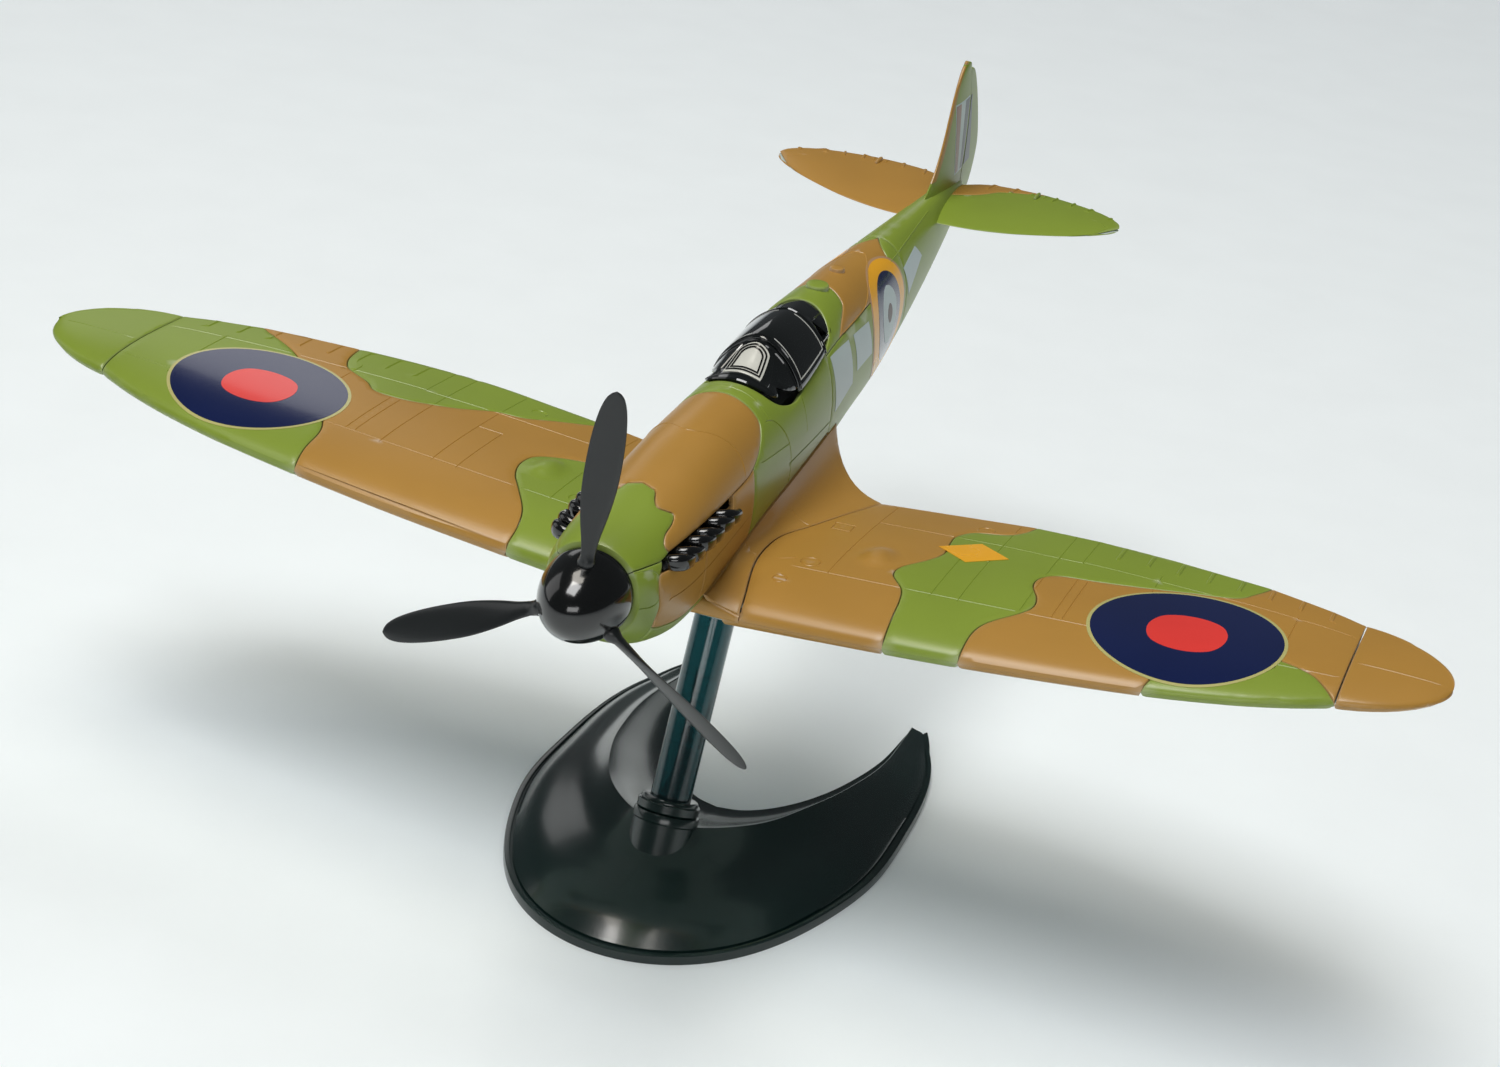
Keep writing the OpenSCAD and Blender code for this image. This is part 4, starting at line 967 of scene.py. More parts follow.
SILL = [[60.4, 0], [60.5, 8], [60.8, 18], [61.8, 32], [63.6, 41], [66.6, 47.5], [70, 50.6], [73, 49.6],
        [76, 47.6], [82, 47], [86.2, 46.7]]
SPINE_FRONT = [[103.6, 0], [103.4, 12], [102.7, 24], [101.6, 33], [97.6, 42], [94, 50.5]]
SPINE_REAR = [[137.4, 0], [135.4, 7], [133.4, 16], [132.3, 25], [131.8, 33], [131, 42], [130, 50.5]]
SPINE_LINE = [[126, 0], [125.4, 9.5], [119.8, 26], [115.4, 39], [112.6, 46], [110, 49], [105.8, 49.6],
              [97, 49.6]]
FAIRING = [[86.2, 104], [95, 125], [103, 153], [109, 173]]
SHOULDER_ANGLE = 50.5
REAR_Y = 138.0


def root_angle(y):
    return smooth(ROOT_TOP, y)[:, 1]


def both_sides(half):
    """A port half edge, run from the starboard end over the top to the port end."""
    half = np.asarray(half, float)
    return np.vstack([(half * [1, -1])[::-1], half[1:]])


def other_side(edge):
    return np.asarray(edge, float) * [1, -1]


def part_of(edge, y0, y1, n=30):
    """The stretch of an edge between two values of y."""
    y = np.linspace(y0, y1, n)
    return np.column_stack([y, smooth(edge, y)[:, 1]])


def skin_line(*points, step=1.0):
    return polyline(*points, step=step, scale=SKIN_SCALE)


def past_bottom(edge):
    """The mirrored edge, with its angles counted on past the bottom centre."""
    return (edge * [1, -1] + [0, 360])[::-1]


def hull(name, paint, slot, *stretches, **options):
    """Panel across the centre of the fuselage, whose outline runs through the given stretches."""
    panel(name + "_skin", FUSELAGE, closed_line(*stretches), paint, slot, replaces=[name], **options)


def low_tape(line):
    return Groove(line, 0.14, -0.1, flat=0.3)


def at_centre(outline):
    """Points on the centre plane, where two halves meet without a seam."""
    return (np.abs(outline[:, 1]) < 1e-6) | (np.abs(outline[:, 1] - 180) < 1e-6)


def stud(name, y, r, h, paint, slot):
    """Low round cap standing on the spine."""
    top = smooth(SECTIONS, y)[0, 2]
    profile = [(1.0, -0.6), (1.0, h * 0.55), (0.93, h * 0.86), (0.78, h), (0.4, h * 1.05)]
    rings = []
    c, s = circle(32)
    for share, z in profile:
        rings.append(np.column_stack([r * share * c, y + r * share * s, np.full(32, top + z)]))
    loft(name, rings, paint, slot)


def add_fuselage():
    """The skins over the top from nose to spine, then both sides to the tail and the lower cowl."""
    wavy, shoulder, chin = curve(WAVY), curve(SHOULDER), curve(CHIN_REAR)
    nose_side, side_seam, rear_edge = curve(NOSE_SIDE), curve(SIDE_SEAM), curve(COWL_REAR)
    hull("nose_cowl", GREEN, "cowl_green", skin_line((1, -54), (1, 54)), nose_side, both_sides(wavy)[::-1],
         other_side(nose_side)[::-1], step=0.9)
    chin_side = np.vstack([nose_side[nose_side[:, 0] <= 8.25], chin[:1]])
    around = np.vstack([chin, past_bottom(chin)[1:]])
    nose_panel = curve([[1.6, 57], [5.2, 64], [7, 76], [7, 90], [5.4, 97], [1.6, 98.5]], 5)
    hull("chin_cowl", GREEN, "cowl_green", skin_line((1, 54), (1, 306))[::-1], chin_side, around,
         past_bottom(chin_side), step=0.9, grooves=[Groove(nose_panel * [0.92, 1], 0.12, 0.1)])
    arc = curve([[38, 0], [38.6, 8], [39.7, 16], [41.5, 31], [42.2, 40], [42.6, 50], [42.4, 60]], 5)
    hull("upper_cowl", BROWN, "cowl_brown", both_sides(wavy), shoulder, both_sides(rear_edge)[::-1],
         other_side(shoulder)[::-1], step=1.1, grooves=[Groove(both_sides(arc), 0.16, -0.1, flat=0.3)])
    chin_low = chin[(chin[:, 1] >= 72) & (chin[:, 1] <= 122)]
    side = closed_line(curve(SLOT_LOW), shoulder[shoulder[:, 0] >= 36], side_seam,
                       part_of(ROOT_TOP, 45.2, 7, 40), chin_low[::-1])
    cut = [Groove(skin_line((10.5, 96), (44.5, 92)), 0.13, 0.1),
           Groove(skin_line((24, 80.5), (24, 119)), 0.13, 0.1)]
    hatch = curve([[56.4, 44], [58.8, 48], [60.9, 58], [62.4, 70], [63.2, 84], [63.6, 100]], 5)
    hood_front = curve([[57.4, 44], [57.6, 34], [57.9, 22], [57.9, 8], [57.9, 0]])
    lines = []
    for way in (1, -1):
        lines += [Groove(hatch * [1, way], 0.15, 0.13),
                  Groove(skin_line((63, 87 * way), (86, 94 * way)), 0.15, 0.13),
                  Groove(skin_line((72.2, 54 * way), (71.8, 78 * way)), 0.11, 0.09),
                  Groove(skin_line((50, 66 * way), (62, 72 * way)), 0.11, 0.09),
                  Groove(hood_front * [1, way], 0.13, 0.1)]
    hull("cockpit_surround", GREEN, "cowl_green", both_sides(rear_edge), side_seam,
         part_of(ROOT_TOP, 45.2, 86.2, 40), skin_line((86.2, 103.6), (86.2, 46.7)),
         both_sides(curve(SILL))[::-1],
         skin_line((86.2, -46.7), (86.2, -103.6)), other_side(part_of(ROOT_TOP, 86.2, 45.2, 40)),
         other_side(side_seam)[::-1], step=1.1, grooves=lines)
    spine_front, spine_rear, spine_line = curve(SPINE_FRONT), curve(SPINE_REAR), curve(SPINE_LINE)
    collar_front = curve([[93.4, 0], [93.2, 14], [92.4, 26], [91, 36], [89.4, 43], [86.2, 46.7]])
    hull("rear_collar", GREEN, "cowl_green", both_sides(collar_front),
         skin_line((86.2, 46.7), (86.2, 50.5), (94, 50.5)), both_sides(spine_front)[::-1],
         skin_line((94, -50.5), (86.2, -50.5), (86.2, -46.7)))
    hull("spine_cover", BROWN, "cowl_brown", both_sides(spine_front), skin_line((94, 50.5), (130, 50.5)),
         both_sides(spine_rear)[::-1], skin_line((130, -50.5), (94, -50.5)),
         grooves=[low_tape(spine_line), low_tape(other_side(spine_line))])
    stud("spine_cap_front", 101.4, 2.15, 0.75, GREEN, "cowl_green")
    stud("spine_cap_rear", 112.6, 1.45, 0.7, BROWN, "cowl_brown")
    rear_side = closed_line(skin_line((86.2, SHOULDER_ANGLE), (130, SHOULDER_ANGLE)), spine_rear[::-1],
                            skin_line((137.4, 0), (REAR_Y, 0), (REAR_Y, 180), (109, 180), (109, 173)),
                            curve(FAIRING)[::-1], skin_line((86.2, 104), (86.2, 50.5)))
    cone = closed_line(skin_line((REAR_Y, 0), (191.6, 0)), skin_line((191.6, 0), (191.6, 180)),
                       skin_line((191.6, 180), (REAR_Y, 180)), skin_line((REAR_Y, 180), (REAR_Y, 0)))
    for side_name, way in SIDES:
        surface = FUSELAGE.on(way)
        panel(f"{side_name}_cowl_side_skin", surface, side, BROWN, "side_brown",
              replaces=[f"{side_name}_cowl_side"], grooves=cut, step=1.1)
        panel(f"{side_name}_rear_side_skin", surface, rear_side, GREEN, "side_green",
              replaces=[f"{side_name}_rear_side"], grooves=[low_tape(skin_line((131, 37), (137.6, 35.2)))],
              pin=at_centre, step=1.4)
        panel(f"{side_name}_tail_cone_skin", surface, cone, GREEN, "side_green", replaces=["tail_cone"],
              grooves=[low_tape(skin_line((REAR_Y + 0.5, 35.1), (146.6, 32.5), (163, 26.5)))], pin=at_centre,
              step=1.2)
    low_side = part_of(ROOT_TOP, 7, 27.1, 20)
    chin_under = chin[chin[:, 1] >= 122]
    hull("lower_cowl", GREEN, "side_green", np.vstack([chin_under, past_bottom(chin_under)[1:]]),
         past_bottom(low_side)[::-1], skin_line((27.1, 118.8), (27.1, 241.2))[::-1], low_side[::-1], step=1.2)


# ---- Wing root fillets ----------------------------------------------------------------

FLARE_FROM, FLARE = 73.0, 6.5


def root_at(uv, wall=0.0):
    """Fillet between the fuselage side, at s = 0, and the wing, at s = 1, flaring aft at its rear."""
    y, s = np.clip(uv[:, 0], ROOT_FRONT, ROOT_REAR), np.clip(uv[:, 1], 0, 1)[:, None]
    t = np.clip((y - lead(15)) / (trail(15) - lead(15)), 0, 1)
    aft = y + FLARE * (np.clip(y - FLARE_FROM, 0, None) / (ROOT_REAR - FLARE_FROM)) ** 2
    a = skin_at(aft, root_angle(np.minimum(y, 88)) + 1.5, wall)
    x = seam_x(y)
    top = wing_top(x, t)
    c = np.column_stack([x, y, np.minimum(np.maximum(top - wall, wing_mid(x, t) + 0.05),
                                          top - (0.01 if wall else 0))])
    b = np.column_stack([mix(a[:, 0], c[:, 0], 0.25), mix(a[:, 1], c[:, 1], 0.75),
                         c[:, 2] + (0.1 if wall else 0.2)])
    return (1 - s) ** 2 * a + 2 * s * (1 - s) * b + s**2 * c


ROOT = Surface(root_at, lambda uv: root_at(uv, WALL), (1, 11))


# The lips between wing and belly: how far out they reach, and over what length they taper
LIP_REACH, LIP_TAPER = 16.4, 7.4


def add_roots():
    """Skins of the wing roots, and the two lips between wing and belly."""
    outline = polyline((27.5, 0), (85.85, 0), (85.85, 1), (27.5, 1), (27.5, 0), step=1.0, scale=(1, 11))[:-1]
    lines = [Groove(polyline((44.5, 0.02), (44.5, 0.98), step=0.8, scale=(1, 11)), 0.13, 0.1),
             Groove(polyline((63.5, 0.45), (63.5, 0.98), step=0.8, scale=(1, 11)), 0.12, 0.1)]
    for side_name, way in SIDES:
        panel(f"{side_name}_wing_root_skin", ROOT.on(way), outline, BROWN, "side_brown", step=1.1,
              grooves=lines, replaces=[f"{side_name}_wing_root"])
    c, s = circle(28)
    for name, t, way, edge, tall, paint in (("belly_front_lip", 0, 1, 27.1, 1.9, BROWN),
                                            ("belly_rear_lip", 1, -1, 85.95, 1.7, SKY)):
        rings = []
        for x in np.linspace(0.1 - LIP_REACH, LIP_REACH - 0.1, 45):
            share = min(1, (LIP_REACH - abs(x)) / LIP_TAPER)
            high, deep = mix(0.7, tall, share), mix(1.0, 2.2, share)
            rings.append(np.column_stack([np.full(28, x), edge + way * deep * (1 - signed_pow(c, 0.5)),
                                          wing_mid(abs(x), t) - 0.6 + high * (1 + signed_pow(s, 0.8))]))
        loft(name, rings, paint, "side_brown" if t == 0 else "underside")


# ---- Canopy ---------------------------------------------------------------------------

HOOPS = [[62.9, 60.8, 13.2, 35], [65.4, 64.3, 14, 42.5], [69, 68.2, 15.7, 47], [72, 71.8, 17.2, 48.6],
         [76, 76, 17.6, 48.4], [83, 83, 17.5, 48.2], [87, 88, 17.3, 47.7], [90.6, 95.6, 16.9, 46.5]]
SCREEN_END, HOOD_END = 2.9, 5.75


def canopy_at(uv, wall=0.0, swell=None):
    """Points of the canopy at a hoop number and a share of the way over it."""
    h = along(HOOPS, np.clip(uv[:, 0], 0, 7))
    s = np.clip(uv[:, 1], 0, 1)
    sill = skin_at(h[:, 0], h[:, 3])
    low = sill[:, 2] + 0.25
    a = math.pi * s
    rise = np.maximum(np.sin(a), 0)
    inset = wall - (swell(uv) if swell else 0)
    return np.column_stack([(sill[:, 0] - inset) * signed_pow(np.cos(a), 1.2), mix(h[:, 0], h[:, 1], rise),
                            low + (h[:, 2] - inset - low) * rise**1.4])


def hood_swell(uv):
    share = np.clip((uv[:, 0] - SCREEN_END) / (HOOD_END - SCREEN_END), 0, 1)
    return 0.12 + 0.3 * np.sin(math.pi * share) ** 0.8


def canopy_surface(swell):
    return Surface(lambda uv: canopy_at(uv, 0, swell), lambda uv: canopy_at(uv, WALL, swell), (4.6, 26))


SCREEN = canopy_surface(None)
HOOD = canopy_surface(hood_swell)
REAR_GLASS = canopy_surface(lambda uv: np.full(len(uv), -0.45))


def glass_line(*points, step=0.6):
    return polyline(*points, step=step, scale=(4.6, 26))


def glass_box(u0, u1, s0, s1):
    return glass_line((u0, s0), (u1, s0), (u1, s1), (u0, s1), (u0, s0))[:-1]


def frame_bar(half, high, *points):
    """Raised bar of the canopy frame."""
    return Groove(glass_line(*points), half, -high, flat=0.4)


def add_canopy():
    """Windscreen, sliding hood and rear glass with their frames, and thin pale films on both sides painted as
    highlights along the frames.
    """
    front, rear = SCREEN_END, HOOD_END
    panel("canopy_windscreen", SCREEN, glass_box(0, front, 0, 1), GLASS, "black_gloss",
          replaces=["canopy"], step=0.7,
          grooves=[frame_bar(0.3, 0.18, (front - 0.22, 0.02), (front - 0.22, 0.98)),
                   frame_bar(0.22, 0.12, (0.55, 0.02), (0.55, 0.98)),
                   frame_bar(0.3, 0.16, (0.6, 0.24), (2.6, 0.36)),
                   frame_bar(0.3, 0.16, (0.6, 0.76), (2.6, 0.64))])
    panel("canopy_hood", HOOD, glass_box(front + 0.03, rear, 0.015, 0.985), GLASS, "black_gloss", step=0.8,
          grooves=[frame_bar(0.22, 0.14, (front + 0.25, 0.02), (front + 0.25, 0.98)),
                   frame_bar(0.3, 0.22, (rear - 0.16, 0.02), (rear - 0.16, 0.98)),
                   frame_bar(0.22, 0.14, (front + 0.2, 0.075), (rear - 0.1, 0.075)),
                   frame_bar(0.22, 0.14, (front + 0.2, 0.925), (rear - 0.1, 0.925))])
    panel("canopy_rear", REAR_GLASS, glass_box(rear + 0.02, 7, 0, 1), GLASS, "black_gloss", step=0.8,
          grooves=[frame_bar(0.25, 0.12, (6.75, 0.02), (6.75, 0.98)),
                   frame_bar(0.12, 0.08, (rear + 0.1, 0.3), (6.7, 0.3)),
                   frame_bar(0.12, 0.08, (rear + 0.1, 0.7), (6.7, 0.7))])
    # Thin pale films along the hood and rear frames: painted highlights where the frame edges catch the
    # light; hood_mark is a small spot of the same pale.
    wide_u, low, high = 0.05, 0.104, 0.113
    line_front, line_back = front + 0.36, rear - 0.42
    thin = [("hood_line", HOOD, (line_front, line_back, low, high)),
            ("hood_front_line", HOOD, (line_front, line_front + wide_u, high, 0.4)),
            ("hood_back_line", HOOD, (line_back - wide_u, line_back, high, 0.42)),
            ("rear_line", REAR_GLASS, (rear + 0.2, 6.55, low, high)),
            ("hood_mark", HOOD, (rear - 0.3, rear - 0.2, 0.12, 0.155))]
    for side_name, way in SIDES:
        for name, surface, (u0, u1, s0, s1) in thin:
            outline = glass_box(u0, u1, *((s0, s1) if way == 1 else (1 - s0, 1 - s1)))
            film(f"{side_name}_{name}", surface, 0.06, 0.05, outline, CANOPY_GLINT_FILM, 0.5)


# ---- Flat windscreen pane: a bright plate with two black beads round its middle --------

PANE_LOW, PANE_HIGH = 0.68, 2.6
PANE_HALF_LOW, PANE_HALF_HIGH = 0.185, 0.125


def pane_outline(shrink):
    """Trapezoid with a round top, in hoop position and share over the canopy."""
    low, high = PANE_LOW + shrink * 0.2, PANE_HIGH - shrink * 0.2

    def half(u):
        share = (u - PANE_LOW) / (PANE_HIGH - PANE_LOW)
        return mix(PANE_HALF_LOW, PANE_HALF_HIGH, share) - shrink * 0.03

    bend = high - 0.5
    right = [(u, 0.5 - half(u)) for u in np.linspace(low, bend, 9)]
    top = [(bend + (high - bend) * math.sin(a), 0.5 - half(bend) * math.cos(a))
           for a in np.linspace(0, math.pi, 14)[1:-1]]
    left = [(u, 0.5 + half(u)) for u in np.linspace(bend, low, 9)]
    base = [(low, 0.5 + half(low) * k) for k in (0.6, 0.2, -0.2, -0.6)]
    return np.array(right + top + left + base)


def add_pane():
    """The pale plate of the windscreen and the two beads on it."""
    panel("windscreen_plate", SCREEN.film(0.22, 0.2), pane_outline(0), PANE, "clear_panel", seam=0,
          step=0.6, roll=0.3, replaces=["windscreen_pane"])
    for number, shrink in enumerate((0.6, 1.45)):
        panel(f"windscreen_bead_{number}", SCREEN.film(0.38, 0.16), pane_outline(shrink), BLACK,
              "black_gloss", step=0.6, roll=0, seam=0, holes=[pane_outline(shrink + 0.42)])


add_fuselage()
add_roots()
add_canopy()
add_pane()

# ---- Turned and swept pieces ----------------------------------------------------------


def tube(name, rings, paint, slot, body, replaces=(), place=to_world):
    """Solid through rings of points, of which the last joins the first."""
    m, n = len(rings), len(rings[0])
    points = np.vstack(rings)
    faces = [(i * n + j, i * n + (j + 1) % n, (i + 1) % m * n + (j + 1) % n, (i + 1) % m * n + j)
             for i in range(m) for j in range(n)]
    finish_piece(name, place(points), oriented(points, faces), paint, slot, body, replaces)


def turned(name, profile, axis_place, paint, slot, body, replaces=(), n=96, hollow=False, place=to_world):
    """Solid of revolution. profile is [radius, position along the axis]; hollow closes it on itself."""
    c, s = circle(n)
    rings = [axis_place(np.column_stack([r * c, r * s, np.full(n, at)])) for r, at in profile]
    (tube if hollow else loft)(name, rings, paint, slot, body, replaces, place=place)


def ovoid(name, paint, slot, x, z, ends, half, tall, pole):
    """Small long blob along Y; pole is how round its ends are."""
    c, s = circle(16)
    rings = []
    for share in np.linspace(0, 1, 9):
        size = math.sin(math.pi * mix(pole, 1 - pole, share)) ** 0.6
        rings.append(np.column_stack([x + half * size * c, np.full(16, mix(*ends, share)),
                                      z + tall * size * s]))
    loft(name, rings, paint, slot)


def on_thrust_line(q):
    """Points drawn along Z, laid on the thrust line pointing forward."""
    return np.column_stack([q[:, 0], -q[:, 2], q[:, 1]])


STEM_LEAN = math.atan2(STEM_DIR[1], STEM_DIR[2])


def on_stem(q):
    """Points drawn along Z, laid on the axis of the stem, in the model's frame."""
    c, s = math.cos(STEM_LEAN), math.sin(STEM_LEAN)
    return np.column_stack([q[:, 0], c * q[:, 1] + s * q[:, 2], -s * q[:, 1] + c * q[:, 2]])


# ---- Propeller ------------------------------------------------------------------------

BLADE_Y, PROP_R, FIRST_BLADE = -4.0, 37.4, 85.0
SPINNER_R, SPINNER_L = 7.6, 11.2
BLADE_SIDES = 36
# Radius, chord, blade angle and thickness along a blade
BLADE_ROWS = [[8, 2.5, 62, 1.8], [11, 3.2, 54, 1.5], [15, 4.7, 46, 1.2], [20, 5.8, 39, 1],
              [25, 5.9, 34, 0.85], [30, 5.4, 30, 0.7], [34, 4.3, 27, 0.6], [36.2, 2.9, 26, 0.5],
              [37.1, 1.5, 26, 0.42], [37.4, 0.4, 26, 0.3]]


def on_blade(number, q):
    """Points drawn along Z, laid along a blade's axis."""
    turn = math.radians(90 - FIRST_BLADE - 120 * number)
    c, s = math.cos(turn), math.sin(turn)
    return np.column_stack([c * q[:, 0] + s * q[:, 2], q[:, 1] + BLADE_Y, -s * q[:, 0] + c * q[:, 2]])


def twisted(u, v, angle, r):
    """A blade's section at a radius, turned by its angle in degrees."""
    c, s = math.cos(math.radians(angle)), math.sin(math.radians(angle))
    return np.column_stack([u * c - v * s, u * s + v * c, np.full(len(u), r)])


def blade_ring(r, chord, angle, thick):
    c, s = circle(BLADE_SIDES)
    return twisted(chord / 2 * signed_pow(c, 0.9), thick / 2 * signed_pow(s, 1.15) * (1 + 0.35 * c), angle, r)


def add_propeller():
    """Spinner, its back plate and three blades with their round cuffs."""
    share = np.linspace(0, 1, 33)
    dome = [(SPINNER_R * math.sqrt(max(1 - s**1.9, 0)), 0.4 + s * SPINNER_L) for s in 1 - (1 - share) ** 1.6]
    base = [(0.05, 0.5), (SPINNER_R - 0.25, 0.5), (SPINNER_R - 0.05, 0.62)]
    profile = base + dome[1:-1] + [(0.05, dome[-1][1])]
    turned("spinner_dome", profile, on_thrust_line, BLACK, "black_gloss", "propeller_unit", ["spinner"],
           n=120)
    plate = [(0.05, -0.4), (SPINNER_R - 0.35, -0.4), (SPINNER_R - 0.15, -0.25), (SPINNER_R - 0.15, 0.2),
             (SPINNER_R - 0.35, 0.36), (0.05, 0.36)]
    turned("spinner_back", plate, on_thrust_line, BLACK, "black_gloss", "propeller_unit", ["spinner_plate"],
           n=120)
    radii = 8 + (PROP_R - 8) * (1 - (1 - np.linspace(0, 1, 54)) ** 1.5)
    rows = smooth(BLADE_ROWS, radii)
    c, s = circle(BLADE_SIDES)
    cuff = [(1.25, 3.0), (1.3, 6.4), (1.45, 6.8), (1.45, 7.5), (1.28, 7.9)]
    rings = [twisted(r * c, r * s, 62, z) for r, z in cuff] + [blade_ring(*row) for row in rows[1:]]
    for number in range(3):
        loft(f"blade_{number}", [on_blade(number, q) for q in rings], BLADE, "black_gloss", "propeller_unit",
             ["propeller"])


# ---- Exhausts -------------------------------------------------------------------------

STUB_FROM, STUB_PITCH, STUBS = 10.4, 3.9, 6


def stub_rings(i):
    """Sections of one exhaust stub, from inside the cowl to its open mouth."""
    y = STUB_FROM + i * STUB_PITCH - (0.7 if i % 2 else 0)
    out = 0.105 if i % 2 else 0.0
    base = smooth(SECTIONS, y)[0, 1] - 1.9
    line = curve([[base, y, 2.9], [base + 1.5, y + 0.1, 3.0], [base + 2.7, y + 0.8, 3.0],
                  [base + 3.25 + out, y + 2, 2.75], [base + 3.4 + out, y + 3.6, 2.4]], 7)
    last = len(line) - 1
    c, s = circle(28)
    rings = []
    for k, p in enumerate(line):
        d = line[min(k + 1, last)] - line[max(k - 1, 0)]
        d /= np.linalg.norm(d)
        side = np.cross(d, [0, 0, 1])
        side /= np.linalg.norm(side)
        share = k / last
        tall = 1.15 + 0.3 * math.sin(math.pi * min(share * 1.15, 1)) + 0.05 * share
        wide = 1.0 + 0.15 * math.sin(math.pi * share) - 0.28 * share
        rings.append(p + side * (wide * signed_pow(c, 0.85))[:, None]
                     + np.cross(side, d) * (tall * signed_pow(s, 0.85))[:, None])
    mouth = rings[-1].mean(0)
    rings.append(mouth + (rings[-1] - mouth) * 0.74)
    rings.append(mouth + (rings[-1] - mouth) * 0.95 - (line[-1] - line[-2]) * 1.6)
    return rings


def add_exhausts():
    """Six stubs and the plate behind them on each side of the cowl."""
    high = curve([[8.3, 64.5], [12, 66], [20, 69], [28, 71.5], [34.8, 72.5]], 6)
    low = curve([[34.8, 77], [28, 78], [20, 76.6], [12, 73.8], [8, 71.4]], 6)
    for side_name, way in SIDES:
        for i in range(STUBS):
            loft(f"{side_name}_stub_{i}", [r * [way, 1, 1] for r in stub_rings(i)], BLACK, "black_gloss",
                 replaces=[f"{side_name}_exhausts"], sharp=40)
        film(f"{side_name}_stub_plate", FUSELAGE.on(way), -0.25, 0.7, closed_line(high, low, high[:1]), BLACK,
             1.2)


# ---- Tail -----------------------------------------------------------------------------

TAIL_Z, TAIL_TIP, TAIL_BEND = 8.6, 37.8, 29.0
# x and y of the tailplane's edges
TAIL_FRONT = [[0, 166.2], [6, 166.1], [12, 166.9], [18, 168.7], [24, 171.6], [29, 174.5], [33, 177.4],
              [36, 180.3], [37.3, 182.2], [37.8, 184.2]]
TAIL_REAR = [[0, 190], [2, 191.3], [6, 194], [12, 195], [18, 194.9], [24, 193.8], [29, 192.3], [33, 190.5],
             [36, 188.1], [37.3, 186.3], [37.8, 184.3]]
# Height, front and rear of the fin and of the rudder
FIN_ROWS = [[9, 164.5, 189.9], [12.4, 167.6, 189.9], [15, 171.5, 190.3], [18, 174.4, 190.7],
            [22, 176.8, 190.8], [27, 178.8, 190.5], [32, 181, 189.7], [35, 183.2, 188.7],
            [36.4, 184.8, 187.9], [36.9, 186, 187.1]]
RUDDER_ROWS = [[4.6, 190.5, 196.6], [5.4, 190.35, 199.6], [7, 190.2, 201.4], [11, 190.4, 203.2],
               [15, 190.75, 203.6], [20, 191.1, 201.8], [26, 190.85, 198.8], [31, 190.1, 195.6],
               [33.6, 189.5, 193.2], [34.6, 189.2, 191]]


def lens_half(s, thick):
    """Half thickness of a tail surface at a share of its chord."""
    s = np.clip(s, 0, 1)
    return thick / 2 * np.sin(math.pi * s) ** 0.7 * (1.15 - 0.5 * s) + 0.12 * np.sin(math.pi * s) ** 0.3


def tail_x(u):
    """Distance out along the tailplane, crowding towards its end, from an even coordinate."""
    span = TAIL_TIP - TAIL_BEND
    bent = TAIL_BEND + span * np.sin(math.pi / 2 * np.clip((u - TAIL_BEND) / span, 0, 1))
    return np.where(u > TAIL_BEND, bent, u)


def tail_at(uv, top, wall=0.0):
    """Points of the tailplane's upper or lower face."""
    x = tail_x(np.clip(uv[:, 0], 0, TAIL_TIP))
    s = (1 - np.cos(math.pi * np.clip(uv[:, 1], 0, 1))) / 2
    front, rear = smooth(TAIL_FRONT, x)[:, 1], smooth(TAIL_REAR, x)[:, 1]
    end = np.sqrt(np.clip(1 - (np.clip(x - TAIL_BEND, 0, None) / (TAIL_TIP - TAIL_BEND)) ** 2, 0, 1))
    half = lens_half(s, mix(2.4, 0.9, x / TAIL_TIP) * end) * np.maximum(end, 0.1) ** 0.3 + 0.01
    half = np.where(wall, np.maximum(half - wall, 0.006), half)
    z = TAIL_Z + 0.01 * x + 0.01 * x * s + (half if top else -half)
    return np.column_stack([x, mix(front, rear, s), z])


def tail_surface(top):
    return Surface(lambda uv: tail_at(uv, top), lambda uv: tail_at(uv, top, 0.6), (1, 26))


def tail_spots(points):
    """Tailplane positions given as x and share of the chord, as surface coordinates."""
    p = np.asarray(points, float)
    return np.column_stack([p[:, 0], np.arccos(1 - 2 * np.clip(p[:, 1], 0, 1)) / math.pi])


def at_tail_edge(outline):
    return (outline[:, 1] < 1e-6) | (outline[:, 1] > 1 - 1e-6)


def rib_bump(a, b, high):
    """Low tape over a rib of the elevator."""
    return Groove(tail_spots(polyline(a, b, step=0.03, scale=(0, 1))), 0.36, -high, flat=0.4)


def tail_grooves():
    tip_line = polyline((31.6, 0.58), (33.4, 0.4), (34.6, 0.2), (35.2, 0.02), step=0.05, scale=(0.1, 1))
    lines = [Groove(tail_spots(tip_line), 0.12, 0.12)]
    lines += [rib_bump((x - 0.25, 0.865), (x + 0.25, 0.985), 0.26) for x in (7.5, 12.5, 21.5, 25.6, 29.4, 33)]
    return lines + [rib_bump((x, 0.9), (x + 0.1, 0.96), 0.2) for x in (16.4, 19.2)]


